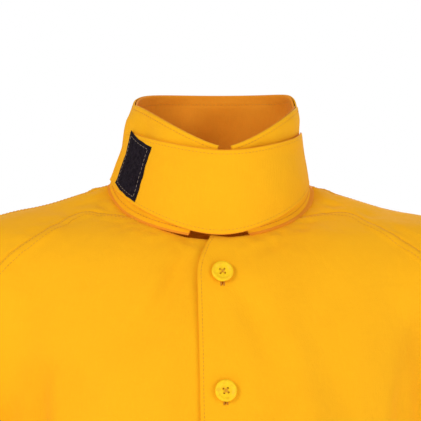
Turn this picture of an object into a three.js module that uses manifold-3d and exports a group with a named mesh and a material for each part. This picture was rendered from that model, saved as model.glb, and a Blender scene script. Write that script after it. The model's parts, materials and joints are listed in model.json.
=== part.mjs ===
// A firefighter's single-layer turnout coat, standing open as if worn: raglan sleeves, a stand
// collar with a throat tab, a buttoned front, patch pockets with flaps, and cuffs with wrist tabs.
// Millimetres. +Z is up, -Y is the front and +X is the wearer's left. The origin is the centre of
// the neck, level with the neck seam at the shoulders.
import * as THREE from "three";
import { mergeVertices } from "three/addons/utils/BufferGeometryUtils.js";
import Module from "manifold-3d";

const wasm = await Module();
wasm.setup();

// ------------------------------------------------------------------ driving dimensions

const CLOTH = 1.2; // one layer of cloth
const TAPE = 1.5; // one layer of hook or loop tape
const GAP = 0.4; // air between two layers
const SEAM = 1; // air between two panels that meet edge to edge
const LAYER = CLOTH + GAP;
const TAPE_LAYER = TAPE + GAP;

const NECK_HALF_WIDTH = 103;
const NECK_FRONT = 82; // from the neck's axis to the seam at the front
const NECK_BACK = 66;
const NECK_DROP = 50; // the seam's front, below its sides
const NECK_RISE = 8; // the seam's back, above its sides

const BODY_LENGTH = 800; // from the neck's side to the hem
const SHOULDER_HALF_WIDTH = 240;
const SHOULDER_SLOPE = THREE.MathUtils.degToRad(17.4);
const CHEST_HALF_WIDTH = 206;
const CHEST_FRONT = 145;
const CHEST_BACK = 136;
const CHEST_DROP = 280; // the level of the underarms
const HEM_HALF_WIDTH = 246;
const HEM_FRONT = 158;
const HEM_BACK = 146;

// Where the arm's axis starts.
const SHOULDER_JOINT = new THREE.Vector3(CHEST_HALF_WIDTH - 1, 5, -108);
const SLEEVE_REACH = new THREE.Vector3(140, -35, -485); // from there to the wrist
const SLEEVE_BOW = { out: 27, back: 18 }; // the elbow, from the straight line
const SLEEVE_TOP = { side: 66, front: 82 }; // half sizes of its section
const SLEEVE_WRIST = { side: 54, front: 60 };

const COLLAR_HEIGHT = 86;
const COLLAR_FRONT_HEIGHT = 88;
const COLLAR_TOP_HALF_WIDTH = 85;
const COLLAR_TOP_FRONT = 84;
const COLLAR_TOP_BACK = 72;
const COLLAR_GAP_TOP = 12; // between its two front ends
const COLLAR_GAP_FOOT = 60;

const TAB_HALF_ANGLE = 84; // of the neck, each side of the front, in degrees
const TAB_FOOT = { middle: 3, end: 9 }; // its lower edge, above the neck seam
const TAB_TOP = { middle: 84, end: 64 };
const PATCH = { width: 38, height: 56 }; // the loop tape on its outer face

const OVERLAP = 24; // each front, past the centre
const BUTTON_RADIUS = 10.5;
const BUTTON_THICKNESS = 3.6;
const BUTTON_COUNT = 6;
const BUTTON_DROP = 34; // the first one, below the neck seam's front
const BUTTON_SPACING = 110;
const BUTTONHOLE_EXTRA = 3; // its length, over the button's diameter
const SHANK_RADIUS = 1.1;
const SHANK_LENGTH = 2.4; // of bare thread, in front of the cloth

const POCKET = { width: 146, height: 185, middle: 118, foot: 60, mouth: 15 };
const FLAP = { height: 70, extra: 5, rise: 18 };

const CUFF_HEIGHT = 46;
const WRIST_TAB = { height: 32, start: -150, reach: 112 }; // the angles are in degrees

const LOOP = { span: 64, drop: 24, width: 7, thickness: 1.6 };

const EVEN = 2.5; // the torso's sections are superellipses with this exponent
const BLEND = 24; // the fillet between arm and torso

// ------------------------------------------------------------------ the coat's form

// A smooth curve through [at, value] pairs in rising order that never overshoots them.
function through(knots) {
  const slope = knots.slice(1).map(([at, value], i) => (value - knots[i][1]) / (at - knots[i][0]));
  const tangent = knots.map((_, i) => {
    const before = slope[i - 1] ?? slope[i];
    const after = slope[i] ?? slope[i - 1];
    return before * after <= 0 ? 0 : (2 * before * after) / (before + after);
  });
  return (at) => {
    if (at <= knots[0][0]) return knots[0][1];
    if (at >= knots.at(-1)[0]) return knots.at(-1)[1];
    const i = knots.findIndex(([end]) => end > at) - 1;
    const width = knots[i + 1][0] - knots[i][0];
    const t = (at - knots[i][0]) / width;
    const rise = (3 - 2 * t) * t * t;
    const ease = t * (1 - t);
    return (
      knots[i][1] * (1 - rise) +
      knots[i + 1][1] * rise +
      width * ease * ((1 - t) * tangent[i] - t * tangent[i + 1])
    );
  };
}

const SHOULDER_DROP = (SHOULDER_HALF_WIDTH - NECK_HALF_WIDTH) * Math.tan(SHOULDER_SLOPE);
const NECK_TOP = 20; // how far the form goes on above the neck seam, inside the collar

const halfWidth = through([
  [-BODY_LENGTH, HEM_HALF_WIDTH],
  [-CHEST_DROP, CHEST_HALF_WIDTH],
  [-CHEST_DROP * 0.6, CHEST_HALF_WIDTH + 8],
  [-SHOULDER_DROP - 25, SHOULDER_HALF_WIDTH + 2],
  [-SHOULDER_DROP, SHOULDER_HALF_WIDTH],
  [-SHOULDER_DROP / 2, (SHOULDER_HALF_WIDTH + NECK_HALF_WIDTH) / 2],
  [0, NECK_HALF_WIDTH],
  [NECK_TOP, NECK_HALF_WIDTH * 0.6],
]);
const frontDepth = through([
  [-BODY_LENGTH, HEM_FRONT],
  [-CHEST_DROP, CHEST_FRONT],
  [-NECK_DROP - 130, CHEST_FRONT - 12],
  [-NECK_DROP - 55, NECK_FRONT + 31],
  [-NECK_DROP - 22, NECK_FRONT + 17],
  [-NECK_DROP, NECK_FRONT],
  [-NECK_DROP * 0.5, NECK_FRONT * 0.52],
  [0, NECK_FRONT * 0.16],
  [NECK_TOP, NECK_FRONT * 0.1],
]);
const backDepth = through([
  [-BODY_LENGTH, HEM_BACK],
  [-CHEST_DROP, CHEST_BACK],
  [-120, NECK_BACK + 60],
  [-55, NECK_BACK + 45],
  [-18, NECK_BACK + 31],
  [NECK_RISE / 2, NECK_BACK + 17],
  [NECK_RISE, NECK_BACK],
  [NECK_TOP, NECK_BACK * 0.6],
]);

function torsoField(p) {
  const wide = halfWidth(p.z);
  const deep = p.y < 0 ? frontDepth(p.z) : backDepth(p.z);
  const reach = (Math.abs(p.x) / wide) ** EVEN + (Math.abs(p.y) / deep) ** EVEN;
  return (reach ** (1 / EVEN) - 1) * Math.min(wide, deep);
}

const SLEEVE_LENGTH = SLEEVE_REACH.length();
const ALONG = SLEEVE_REACH.clone().normalize();
const OUTWARD = new THREE.Vector3(0, -1, 0).cross(ALONG).normalize(); // away from the torso
const FORWARD = OUTWARD.clone().cross(ALONG).normalize();
if (FORWARD.y > 0) FORWARD.negate();

// A place on the left arm's axis, t from 0 at the shoulder joint to 1 at the wrist.
function armAxis(t) {
  const bow = 4 * t * (1 - t);
  return SHOULDER_JOINT.clone()
    .addScaledVector(SLEEVE_REACH, t)
    .addScaledVector(OUTWARD, SLEEVE_BOW.out * bow)
    .addScaledVector(FORWARD, -SLEEVE_BOW.back * bow);
}

function sleeveHalf(t) {
  return {
    side: THREE.MathUtils.lerp(SLEEVE_TOP.side, SLEEVE_WRIST.side, t),
    front: THREE.MathUtils.lerp(SLEEVE_TOP.front, SLEEVE_WRIST.front, t),
  };
}

function armField(p) {
  const q = new THREE.Vector3(Math.abs(p.x), p.y, p.z);
  const along = q.clone().sub(SHOULDER_JOINT).dot(ALONG) / SLEEVE_LENGTH;
  const t = THREE.MathUtils.clamp(along, 0, 1.1);
  const half = sleeveHalf(t);
  q.sub(armAxis(t));
  const reach = Math.hypot(q.dot(OUTWARD) / half.side, q.dot(FORWARD) / half.front, q.dot(ALONG) / half.side);
  return (reach - 1) * half.side;
}

// Below nought inside the coat, above it outside.
function form(p) {
  const torso = torsoField(p);
  const arm = armField(p);
  const near = Math.max(BLEND - Math.abs(torso - arm), 0);
  return Math.min(torso, arm) - (near * near) / (4 * BLEND);
}

function outwardAt(p) {
  const step = 0.25;
  const slope = (axis) => {
    const ahead = p.clone();
    const behind = p.clone();
    ahead[axis] += step;
    behind[axis] -= step;
    return (form(ahead) - form(behind)) / (2 * step);
  };
  return new THREE.Vector3(slope("x"), slope("y"), slope("z"));
}

// The place on the form's skin nearest to p, and then a height above it.
function onForm(p, height = 0) {
  const place = p.clone();
  for (let i = 0; i < 24; i++) {
    const out = outwardAt(place);
    place.add(out.multiplyScalar(-form(place) / out.lengthSq()).clampLength(0, 8));
  }
  return place.addScaledVector(outwardAt(place).normalize(), height);
}

// Where a straight line out from a place inside the form first meets the skin.
function outTo(start, direction) {
  const at = (reach) => start.clone().addScaledVector(direction, reach);
  const stride = 8;
  let inside = 0;
  while (inside < 400 && form(at(inside + stride)) <= 0) inside += stride;
  let outside = inside + stride;
  for (let i = 0; i < 30; i++) {
    const middle = (inside + outside) / 2;
    if (form(at(middle)) > 0) outside = middle;
    else inside = middle;
  }
  return at(inside);
}

// The place on the skin straight in front of (or behind) x, z.
const facing = (x, z, side = -1) => outTo(new THREE.Vector3(x, 0, z), new THREE.Vector3(0, side, 0));

// ------------------------------------------------------------------ solids

// One closed sheet of cloth, in cells across and along it. Each corner is at place(u, v, w): u and
// v go across and along it, and w goes through it, all from 0 to 1. Both faces are split along the
// same diagonals, so sheets with the same cells lie on each other without touching. A mirrored sheet
// that lies on one that isn't is split along the others.
function sheet(across, along, place, otherDiagonals = false) {
  const points = [];
  const index = [];
  const at = (i, j, w) => (w * (along + 1) + j) * (across + 1) + i;
  const quad = (a, b, c, d) => index.push(a, b, c, a, c, d);
  for (const w of [0, 1])
    for (let j = 0; j <= along; j++)
      for (let i = 0; i <= across; i++) points.push(place(i / across, j / along, w));
  for (let j = 0; j < along; j++) {
    for (let i = 0; i < across; i++) {
      const cell = (w) => [at(i, j, w), at(i + 1, j, w), at(i + 1, j + 1, w), at(i, j + 1, w)];
      const [a, b, c, d] = cell(1);
      const [e, f, g, h] = cell(0);
      if (otherDiagonals) index.push(a, b, d, b, c, d, e, h, f, f, h, g);
      else index.push(a, b, c, a, c, d, e, g, f, e, h, g);
    }
    quad(at(0, j, 0), at(0, j, 1), at(0, j + 1, 1), at(0, j + 1, 0));
    quad(at(across, j, 0), at(across, j + 1, 0), at(across, j + 1, 1), at(across, j, 1));
  }
  for (let i = 0; i < across; i++) {
    quad(at(i, 0, 0), at(i + 1, 0, 0), at(i + 1, 0, 1), at(i, 0, 1));
    quad(at(i, along, 0), at(i, along, 1), at(i + 1, along, 1), at(i + 1, along, 0));
  }
  return facingOut(new THREE.BufferGeometry().setFromPoints(points).setIndex(index));
}

// Turns every face round if the solid is inside out.
function facingOut(geometry) {
  const corners = geometry.getAttribute("position");
  const index = geometry.index.array;
  const [a, b, c] = [new THREE.Vector3(), new THREE.Vector3(), new THREE.Vector3()];
  let volume = 0;
  for (let i = 0; i < index.length; i += 3) {
    a.fromBufferAttribute(corners, index[i]);
    b.fromBufferAttribute(corners, index[i + 1]);
    c.fromBufferAttribute(corners, index[i + 2]);
    volume += a.dot(b.cross(c));
  }
  if (volume < 0)
    for (let i = 0; i < index.length; i += 3) [index[i + 1], index[i + 2]] = [index[i + 2], index[i + 1]];
  return geometry;
}

// Only a geometry's corners and faces, with corners in the same place made one.
function plain(geometry) {
  const bare = geometry.clone();
  for (const name of Object.keys(bare.attributes)) if (name !== "position") bare.deleteAttribute(name);
  return mergeVertices(bare, 1e-4);
}

function solid(geometry) {
  const merged = plain(geometry);
  return new wasm.Manifold(
    new wasm.Mesh({
      numProp: 3,
      vertProperties: new Float32Array(merged.getAttribute("position").array),
      triVerts: new Uint32Array(merged.index.array),
    }),
  );
}

function geometryOf(manifold) {
  const mesh = manifold.getMesh();
  return new THREE.BufferGeometry()
    .setAttribute("position", new THREE.BufferAttribute(new Float32Array(mesh.vertProperties), 3))
    .setIndex(new THREE.BufferAttribute(new Uint32Array(mesh.triVerts), 1));
}

const cut = (geometry, ...tools) =>
  geometryOf(tools.reduce((left, tool) => left.subtract(solid(tool)), solid(geometry)));
const join = (first, ...others) =>
  geometryOf(others.reduce((sum, other) => sum.add(solid(other)), solid(first)));

const mixed = (a, b, t) => a.clone().lerp(b, t);
const eased = (t) => THREE.MathUtils.smoothstep(t, 0, 1);

// ------------------------------------------------------------------ seams

// The neck seam: angle is 0 at the front, 90 at the wearer's left and 180 at the back.
const neckPlaces = Array.from({ length: 72 }, (_, i) => {
  const turn = THREE.MathUtils.degToRad(5 * i);
  const front = Math.cos(turn);
  return onForm(
    new THREE.Vector3(
      NECK_HALF_WIDTH * Math.sin(turn),
      front > 0 ? -NECK_FRONT * front : -NECK_BACK * front,
      front > 0 ? -NECK_DROP * front ** 0.85 : -NECK_RISE * front,
    ),
  );
});
const neckCurve = new THREE.CatmullRomCurve3(neckPlaces, true);
const neckSeam = (angle) => neckCurve.getPoint(THREE.MathUtils.euclideanModulo(angle / 360, 1));

const RAGLAN_FRONT_ANGLE = 54.5; // where each raglan seam leaves the neck seam
const RAGLAN_BACK_ANGLE = 145;

// The underarm: the top of the gap between arm and torso.
function underarmPoint() {
  const x = CHEST_HALF_WIDTH + 9;
  let open = -CHEST_DROP - 90;
  let shut = -CHEST_DROP + 90;
  for (let i = 0; i < 40; i++) {
    const middle = (open + shut) / 2;
    if (form(new THREE.Vector3(x, 0, middle)) > 0) open = middle;
    else shut = middle;
  }
  return new THREE.Vector3(x, 0, open);
}
const UNDERARM = underarmPoint();

// A raglan seam runs over the shoulder's front or back, through places given by x and z.
function raglan(angle, side, stops) {
  const places = [neckSeam(angle), ...stops.map(([x, z]) => facing(x, z, side)), UNDERARM];
  const curve = new THREE.CatmullRomCurve3(places, false, "centripetal");
  return (t) => onForm(curve.getPointAt(t));
}
const shoulderX = (share) => THREE.MathUtils.lerp(NECK_HALF_WIDTH, SHOULDER_HALF_WIDTH, share);
const shoulderZ = (share) => -SHOULDER_DROP * share;
const frontRaglan = raglan(RAGLAN_FRONT_ANGLE, -1, [
  [shoulderX(0.22), shoulderZ(0.22) - 17],
  [shoulderX(0.36), shoulderZ(0.36) - 20],
  [shoulderX(0.5), shoulderZ(0.5) - 24],
  [shoulderX(0.78), shoulderZ(0.78) - 40],
  [shoulderX(0.94), shoulderZ(0.94) - 70],
  [shoulderX(0.96), shoulderZ(1) - 140],
  [CHEST_HALF_WIDTH + 19, -CHEST_DROP * 0.87],
]);
const backRaglan = raglan(RAGLAN_BACK_ANGLE, 1, [
  [shoulderX(0.1), shoulderZ(0.1) - 30],
  [shoulderX(0.55), shoulderZ(0.55) - 65],
  [shoulderX(0.86), shoulderZ(0.86) - 110],
  [shoulderX(0.93), shoulderZ(1) - 155],
  [CHEST_HALF_WIDTH + 19, -CHEST_DROP * 0.9],
]);

// The side seam from underarm to hem, and the underarm seam from underarm to wrist.
function sideSeam(t) {
  const z = THREE.MathUtils.lerp(UNDERARM.z, -BODY_LENGTH, t);
  return mixed(new THREE.Vector3(halfWidth(z), 0, z), UNDERARM, (1 - eased(Math.min(t * 6, 1))) ** 2);
}
const UNDERARM_ALONG = UNDERARM.clone().sub(SHOULDER_JOINT).dot(ALONG) / SLEEVE_LENGTH;
function underarmSeam(t) {
  const along = THREE.MathUtils.lerp(UNDERARM_ALONG, 1, t);
  const place = armAxis(along).addScaledVector(OUTWARD, -sleeveHalf(along).side);
  return mixed(place, UNDERARM, (1 - eased(Math.min(t * 6, 1))) ** 2);
}

// The line over the shoulder and down the outside of the sleeve.
function overarm(t) {
  const turn = UNDERARM_ALONG * 0.35;
  const along = (share) => armAxis(share).addScaledVector(OUTWARD, sleeveHalf(share).side);
  if (t >= OVER_SHOULDER)
    return along(THREE.MathUtils.lerp(turn, 1, (t - OVER_SHOULDER) / (1 - OVER_SHOULDER)));
  const ridge = new THREE.CatmullRomCurve3([
    neckSeam(90),
    new THREE.Vector3(shoulderX(0.45), 0, shoulderZ(0.45)),
    new THREE.Vector3(shoulderX(0.92), 0, shoulderZ(0.92)),
    along(turn),
  ]);
  return ridge.getPointAt(t / OVER_SHOULDER);
}
const OVER_SHOULDER = 0.36; // share of the overarm line that lies on the shoulder

// Panels that meet along a seam share its corners, so each seam takes a whole number of cells.
const SIDE_ROWS = 12;
const RAGLAN_ROWS = 12;
const ARM_ROWS = 8;
const AT_SIDE = SIDE_ROWS / (SIDE_ROWS + RAGLAN_ROWS); // share of a body panel's rows at its side seam
const AT_UNDERARM = RAGLAN_ROWS / (RAGLAN_ROWS + ARM_ROWS); // share of a sleeve's at its raglan seam

const bodyEdge = (seam) => (v) =>
  v < AT_SIDE ? sideSeam(1 - v / AT_SIDE) : seam(1 - (v - AT_SIDE) / (1 - AT_SIDE));
const sleeveEdge = (seam) => (v) =>
  v < AT_UNDERARM ? seam(v / AT_UNDERARM) : underarmSeam((v - AT_UNDERARM) / (1 - AT_UNDERARM));

// Fills four edges with a smooth surface.
function fill(left, right, foot, head) {
  return (u, v) =>
    mixed(left(v), right(v), u)
      .add(mixed(foot(u), head(u), v))
      .sub(mixed(mixed(left(0), right(0), u), mixed(left(1), right(1), u), v));
}

const mirrored = (p, side) => new THREE.Vector3(p.x * side, p.y, p.z);

// The same surface with some edges drawn in by half a seam: u0, u1, v0 or v1.
function drawnIn(surface, across, along, edges) {
  const inward = (p, u, v) => surface(u, v).sub(p).setLength(SEAM / 2);
  return (u, v) => {
    const p = surface(u, v);
    const place = p.clone();
    if (edges.includes("u0") && u < 1e-6) place.add(inward(p, 1 / across, v));
    if (edges.includes("u1") && u > 1 - 1e-6) place.add(inward(p, 1 - 1 / across, v));
    if (edges.includes("v0") && v < 1e-6) place.add(inward(p, u, 1 / along));
    if (edges.includes("v1") && v > 1 - 1e-6) place.add(inward(p, u, 1 - 1 / along));
    return place;
  };
}

// ------------------------------------------------------------------ body panels

const BODY_ROWS = SIDE_ROWS + RAGLAN_ROWS;

const hemRow = (side) => (angle) => {
  const turn = THREE.MathUtils.degToRad(angle);
  const squarer = (s) => Math.sign(s) * Math.abs(s) ** (2 / EVEN);
  const deep = side < 0 ? HEM_FRONT : HEM_BACK;
  return new THREE.Vector3(
    HEM_HALF_WIDTH * squarer(Math.sin(turn)),
    side * deep * squarer(Math.cos(turn)),
    -BODY_LENGTH,
  );
};
const neckAngle = (x) => THREE.MathUtils.radToDeg(Math.asin(x / NECK_HALF_WIDTH));
const hemAngle = (x) => THREE.MathUtils.radToDeg(Math.asin((x / HEM_HALF_WIDTH) ** (EVEN / 2)));

const FRONT_COLUMNS = 12;
const FLAT_COLUMNS = 2; // of them, where the two fronts lie on each other
const FACING_COLUMNS = 4; // of them, that the facing lines

// The wearer's left front. Its first columns run straight up and down, from one overlap's edge to
// the other's, and the rest fan out to the side and raglan seams.
function frontSurface() {
  const flat = FLAT_COLUMNS / FRONT_COLUMNS;
  const upright = (x) => (v) =>
    facing(x, THREE.MathUtils.lerp(-BODY_LENGTH, neckSeam(neckAngle(x)).z, v));
  const head = (u) => neckSeam(THREE.MathUtils.lerp(neckAngle(OVERLAP), RAGLAN_FRONT_ANGLE, u));
  const row = hemRow(-1);
  const foot = (u) => row(THREE.MathUtils.lerp(hemAngle(OVERLAP), 90, u));
  const rest = fill(upright(OVERLAP), bodyEdge(frontRaglan), foot, head);
  return (u, v) =>
    u < flat ? upright(OVERLAP * ((2 * u) / flat - 1))(v) : rest((u - flat) / (1 - flat), v);
}
const FRONT = drawnIn(frontSurface(), FRONT_COLUMNS, BODY_ROWS, ["u1", "v1"]);

// The wearer's right front is pressed in where it lies under the left one.
function pressed(x, side) {
  if (side > 0) return 0;
  return -2 * LAYER * (1 - THREE.MathUtils.smoothstep(x, OVERLAP + 5, OVERLAP + 40));
}

// Cuts the top corner of a front into a curve, to leave the throat free.
const CORNER = { width: 15, height: 34 };
function cornerTool(side) {
  const outline = new THREE.Shape();
  const foot = -NECK_DROP - CORNER.height;
  outline.moveTo(-OVERLAP - 5, foot);
  outline.lineTo(-OVERLAP, foot);
  outline.quadraticCurveTo(-OVERLAP, foot + CORNER.height * 0.5, -OVERLAP + CORNER.width, -NECK_DROP + 1);
  outline.lineTo(-OVERLAP + CORNER.width, 20);
  outline.lineTo(-OVERLAP - 5, 20);
  outline.closePath();
  const depth = NECK_FRONT * 2;
  const options = { depth, bevelEnabled: false, curveSegments: 6 };
  const tool = new THREE.ExtrudeGeometry(outline, options).rotateX(Math.PI / 2);
  return side > 0 ? tool : facingOut(plain(tool).scale(-1, 1, 1));
}

// side 1 is the wearer's left, which buttons over the other front.
function frontPanel(side) {
  const place = (u, v, w) => {
    const p = FRONT(u, v);
    return mirrored(onForm(p, pressed(p.x, side) - CLOTH * (1 - w)), side);
  };
  return sheet(FRONT_COLUMNS, BODY_ROWS, place, side < 0);
}

// A facing lines the free edge of its front, from the inside.
function frontFacing(side) {
  const place = (u, v, w) => {
    const p = FRONT((u * FACING_COLUMNS) / FRONT_COLUMNS, v);
    return mirrored(onForm(p, pressed(p.x, side) - LAYER - CLOTH * (1 - w)), side);
  };
  return sheet(FACING_COLUMNS, BODY_ROWS, place, side < 0);
}

function backPanel() {
  const columns = 20;
  const right = bodyEdge(backRaglan);
  const left = (v) => mirrored(right(v), -1);
  const row = hemRow(1);
  const foot = (u) => row(THREE.MathUtils.lerp(-90, 90, u));
  const head = (u) => neckSeam(THREE.MathUtils.lerp(360 - RAGLAN_BACK_ANGLE, RAGLAN_BACK_ANGLE, u));
  const surface = drawnIn(fill(left, right, foot, head), columns, BODY_ROWS, ["u0", "u1", "v1"]);
  return sheet(columns, BODY_ROWS, (u, v, w) => onForm(surface(u, v), -CLOTH * (1 - w)));
}

// Half a sleeve, from the overarm line round to its raglan and underarm seams.
function sleevePanel(side, half) {
  const [columns, rows] = [8, RAGLAN_ROWS + ARM_ROWS];
  const edge = sleeveEdge(half < 0 ? frontRaglan : backRaglan);
  const neckEnd = half < 0 ? RAGLAN_FRONT_ANGLE : RAGLAN_BACK_ANGLE;
  // Each row starts on the chord between its two ends and goes out to the form's skin.
  const row = (u, v) => {
    const [over, under] = [overarm(v), edge(v)];
    const squareOn = outwardAt(over).normalize().add(outwardAt(under).normalize());
    const onArm = THREE.MathUtils.smoothstep(v, AT_UNDERARM * 0.4, AT_UNDERARM * 0.9);
    const out = mixed(squareOn.normalize(), FORWARD.clone().multiplyScalar(-half), onArm).normalize();
    return outTo(mixed(over, under, (1 - Math.cos(Math.PI * u)) / 2), out);
  };
  const surface = (u, v) => {
    const atNeck = Math.max(0, 1 - v * 6) ** 2;
    const seam = neckSeam(THREE.MathUtils.lerp(90, neckEnd, u));
    return row(u, v).addScaledVector(seam.sub(row(u, 0)), atNeck);
  };
  const drawn = drawnIn(surface, columns, rows, ["u0", "u1", "v0"]);
  return sheet(columns, rows, (u, v, w) => mirrored(onForm(drawn(u, v), -CLOTH * (1 - w)), side));
}

// ------------------------------------------------------------------ collar and throat tab

// The collar's middle surface: height is in millimetres above the neck seam.
function collarAt(angle, height) {
  const turn = THREE.MathUtils.degToRad(angle);
  const front = Math.cos(turn);
  const foot = neckSeam(angle);
  const sideways = Math.abs(Math.sin(turn));
  const topZ =
    front > 0
      ? THREE.MathUtils.lerp(COLLAR_FRONT_HEIGHT - NECK_DROP, COLLAR_HEIGHT, sideways ** 1.45)
      : COLLAR_HEIGHT - NECK_RISE * front;
  const top = new THREE.Vector3(
    COLLAR_TOP_HALF_WIDTH * Math.sin(turn),
    front > 0 ? -COLLAR_TOP_FRONT * front : -COLLAR_TOP_BACK * front,
    topZ,
  );
  const full = topZ - foot.z;
  const place = mixed(foot, top, height / full);
  return { place, full };
}

// A place out from the collar's middle surface, level with it.
function offCollar(angle, height, out) {
  const step = 0.5;
  const { place } = collarAt(angle, height);
  const run = collarAt(angle + step, height).place.sub(collarAt(angle - step, height).place);
  const rise = collarAt(angle, height + step).place.sub(collarAt(angle, height - step).place);
  return place.addScaledVector(run.cross(rise).normalize(), out);
}

const COLLAR_LAYER = LAYER + 0.3; // from one of its layers to the next
const COLLAR_FOOT = 1.4; // above the neck seam
const endAngle = (gap, halfWide) => THREE.MathUtils.radToDeg(Math.asin(gap / 2 / halfWide));
function collarLayer(middle, trim) {
  const footEnd = endAngle(COLLAR_GAP_FOOT, NECK_HALF_WIDTH);
  const topEnd = endAngle(COLLAR_GAP_TOP, COLLAR_TOP_HALF_WIDTH);
  return sheet(34, 3, (u, v, w) => {
    const share = THREE.MathUtils.lerp(trim / COLLAR_HEIGHT, 1 - trim / COLLAR_HEIGHT, v);
    const end = THREE.MathUtils.lerp(footEnd, topEnd, share);
    const drawn = u < 1e-6 ? trim : u > 1 - 1e-6 ? -trim : 0;
    const angle = THREE.MathUtils.lerp(end, 360 - end, u) + drawn;
    const height = THREE.MathUtils.lerp(COLLAR_FOOT, collarAt(angle, 0).full, share);
    return offCollar(angle, height, middle + CLOTH * (w - 0.5));
  });
}
const COLLAR_OUT = COLLAR_LAYER + CLOTH / 2; // the collar's outer face, from its middle surface

// A place on the throat tab: angle round the neck, v from its lower to its upper edge.
function tabHeight(angle, v) {
  const ends = (Math.abs(angle) / TAB_HALF_ANGLE) ** 2.2;
  const foot = THREE.MathUtils.lerp(TAB_FOOT.middle, TAB_FOOT.end, ends);
  const top = THREE.MathUtils.lerp(TAB_TOP.middle, TAB_TOP.end, ends);
  return THREE.MathUtils.lerp(foot, top, v);
}
const TAB_IN = COLLAR_OUT + GAP + 2 * TAPE_LAYER; // the throat tab's inner face
function tabLayer(inner, trim) {
  const end = TAB_HALF_ANGLE - trim;
  return sheet(22, 3, (u, v, w) => {
    const angle = THREE.MathUtils.lerp(-end, end, u);
    const share = THREE.MathUtils.lerp(trim / 80, 1 - trim / 80, v);
    return offCollar(angle, tabHeight(angle, share), inner + CLOTH * w);
  });
}

// A rectangle of hook or loop tape on the collar or its tab.
function neckTape(angle, width, foot, height, inner) {
  const radius = NECK_HALF_WIDTH * 0.9;
  const half = THREE.MathUtils.radToDeg(width / 2 / radius);
  return sheet(4, 2, (u, v, w) =>
    offCollar(angle + half * (2 * u - 1), foot + height * v, inner + TAPE * w),
  );
}
const HOOK_ANGLE = -TAB_HALF_ANGLE + 13;
const PATCH_ANGLE = -TAB_HALF_ANGLE + 27;
const FASTENING_WIDTH = 25;

// ------------------------------------------------------------------ buttons

const stands = (p) => ({ place: onForm(p), out: outwardAt(onForm(p)).normalize() });

function buttonFrame(index) {
  const z = -NECK_DROP - BUTTON_DROP - index * BUTTON_SPACING;
  const { place, out } = stands(facing(0, z));
  const right = new THREE.Vector3(0, 0, 1).cross(out).normalize();
  const up = out.clone().cross(right);
  const frame = new THREE.Matrix4().makeBasis(right, up, out);
  return frame.setPosition(place);
}

const HOLE_RADIUS = 0.95;
const HOLE_OFFSET = 2.1;
const THREAD_RADIUS = 0.55;
const UNDER_FRONT = -2 * LAYER; // the right front's outer face, from the left one's
const BUTTON_BACK = GAP + 1.4;
const corners = [1, -1].flatMap((x) => [1, -1].map((y) => [x * HOLE_OFFSET, y * HOLE_OFFSET]));

// A rod along +Z from one height to another.
function rod(radius, from, to, sides = 8) {
  return new THREE.CylinderGeometry(radius, radius, to - from, sides)
    .rotateX(Math.PI / 2)
    .translate(0, 0, (from + to) / 2);
}

function buttonBody() {
  const [r, t] = [BUTTON_RADIUS, BUTTON_THICKNESS];
  const profile = [
    [0, 0],
    [r - 1.4, 0],
    [r - 0.3, 0.8],
    [r, 1.7],
    [r - 0.7, t - 0.3],
    [r - 1.8, t],
    [r - 3.2, t - 0.5],
    [r - 4.4, t - 1.2],
    [0, t - 1.2],
  ].map(([x, y]) => new THREE.Vector2(x, y));
  const disc = new THREE.LatheGeometry(profile, 24).rotateX(Math.PI / 2);
  const holes = corners.map(([x, y]) => rod(HOLE_RADIUS, -1, t + 1).translate(x, y, 0));
  return cut(disc, ...holes).translate(0, 0, BUTTON_BACK);
}

// The thread: a shank through the buttonhole, four legs and two crossing bars on top.
function buttonThread() {
  const face = BUTTON_BACK + BUTTON_THICKNESS - 1.2;
  const gapUnder = 0.2;
  const base = new THREE.CylinderGeometry(HOLE_OFFSET * 1.41 + THREAD_RADIUS, SHANK_RADIUS, 1, 8)
    .rotateX(Math.PI / 2)
    .translate(0, 0, BUTTON_BACK - gapUnder - 0.5);
  const legs = corners.map(([x, y]) =>
    rod(THREAD_RADIUS, BUTTON_BACK - gapUnder - 0.4, face + 0.9, 6).translate(x, y, 0),
  );
  const bars = [45, -45].map((turn) =>
    new THREE.BoxGeometry(HOLE_OFFSET * 2.83, THREAD_RADIUS * 2, 0.8)
      .rotateZ(THREE.MathUtils.degToRad(turn))
      .translate(0, 0, face + 0.7),
  );
  return join(rod(SHANK_RADIUS, UNDER_FRONT + GAP, BUTTON_BACK - 1), base, ...legs, ...bars);
}

// A stadium-shaped hole, up and down the coat.
function buttonholeTool() {
  const half = BUTTON_RADIUS + BUTTONHOLE_EXTRA / 2;
  const radius = SHANK_RADIUS + 0.5;
  const outline = new THREE.Shape();
  outline.absarc(0, half - radius, radius, 0, Math.PI);
  outline.absarc(0, radius - half, radius, Math.PI, 2 * Math.PI);
  return new THREE.ExtrudeGeometry(outline, { depth: 12, bevelEnabled: false, curveSegments: 4 });
}
const buttonFrames = Array.from({ length: BUTTON_COUNT }, (_, i) => buttonFrame(i));
const buttonholes = buttonFrames.map((frame) =>
  buttonholeTool().translate(0, 0, -6).applyMatrix4(frame),
);

// ------------------------------------------------------------------ pockets

const POCKET_TOP = -BODY_LENGTH + POCKET.foot + POCKET.height;
const FLAP_TAPE = { width: 60, height: 22, down: 36 };
const FLAP_STAND = GAP + 0.8; // the flap's inner face at its hinge, from the front
const bagSwell = (across) => Math.cos(Math.PI * THREE.MathUtils.clamp(across, -0.5, 0.5)) ** 0.6;

// A patch pocket: pressed to the front along three sides, and standing off it at its mouth.
function bagHeight(across, z) {
  const up = (z - POCKET_TOP + POCKET.height) / POCKET.height;
  return GAP + POCKET.mouth * bagSwell(across) * eased(up * 1.05);
}
function pocketBag(side) {
  return sheet(12, 8, (u, v, w) => {
    const z = POCKET_TOP - POCKET.height * (1 - v);
    const place = facing(POCKET.middle + POCKET.width * (u - 0.5), z);
    return mirrored(onForm(place, bagHeight(u - 0.5, z) + CLOTH * w), side);
  });
}

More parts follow.
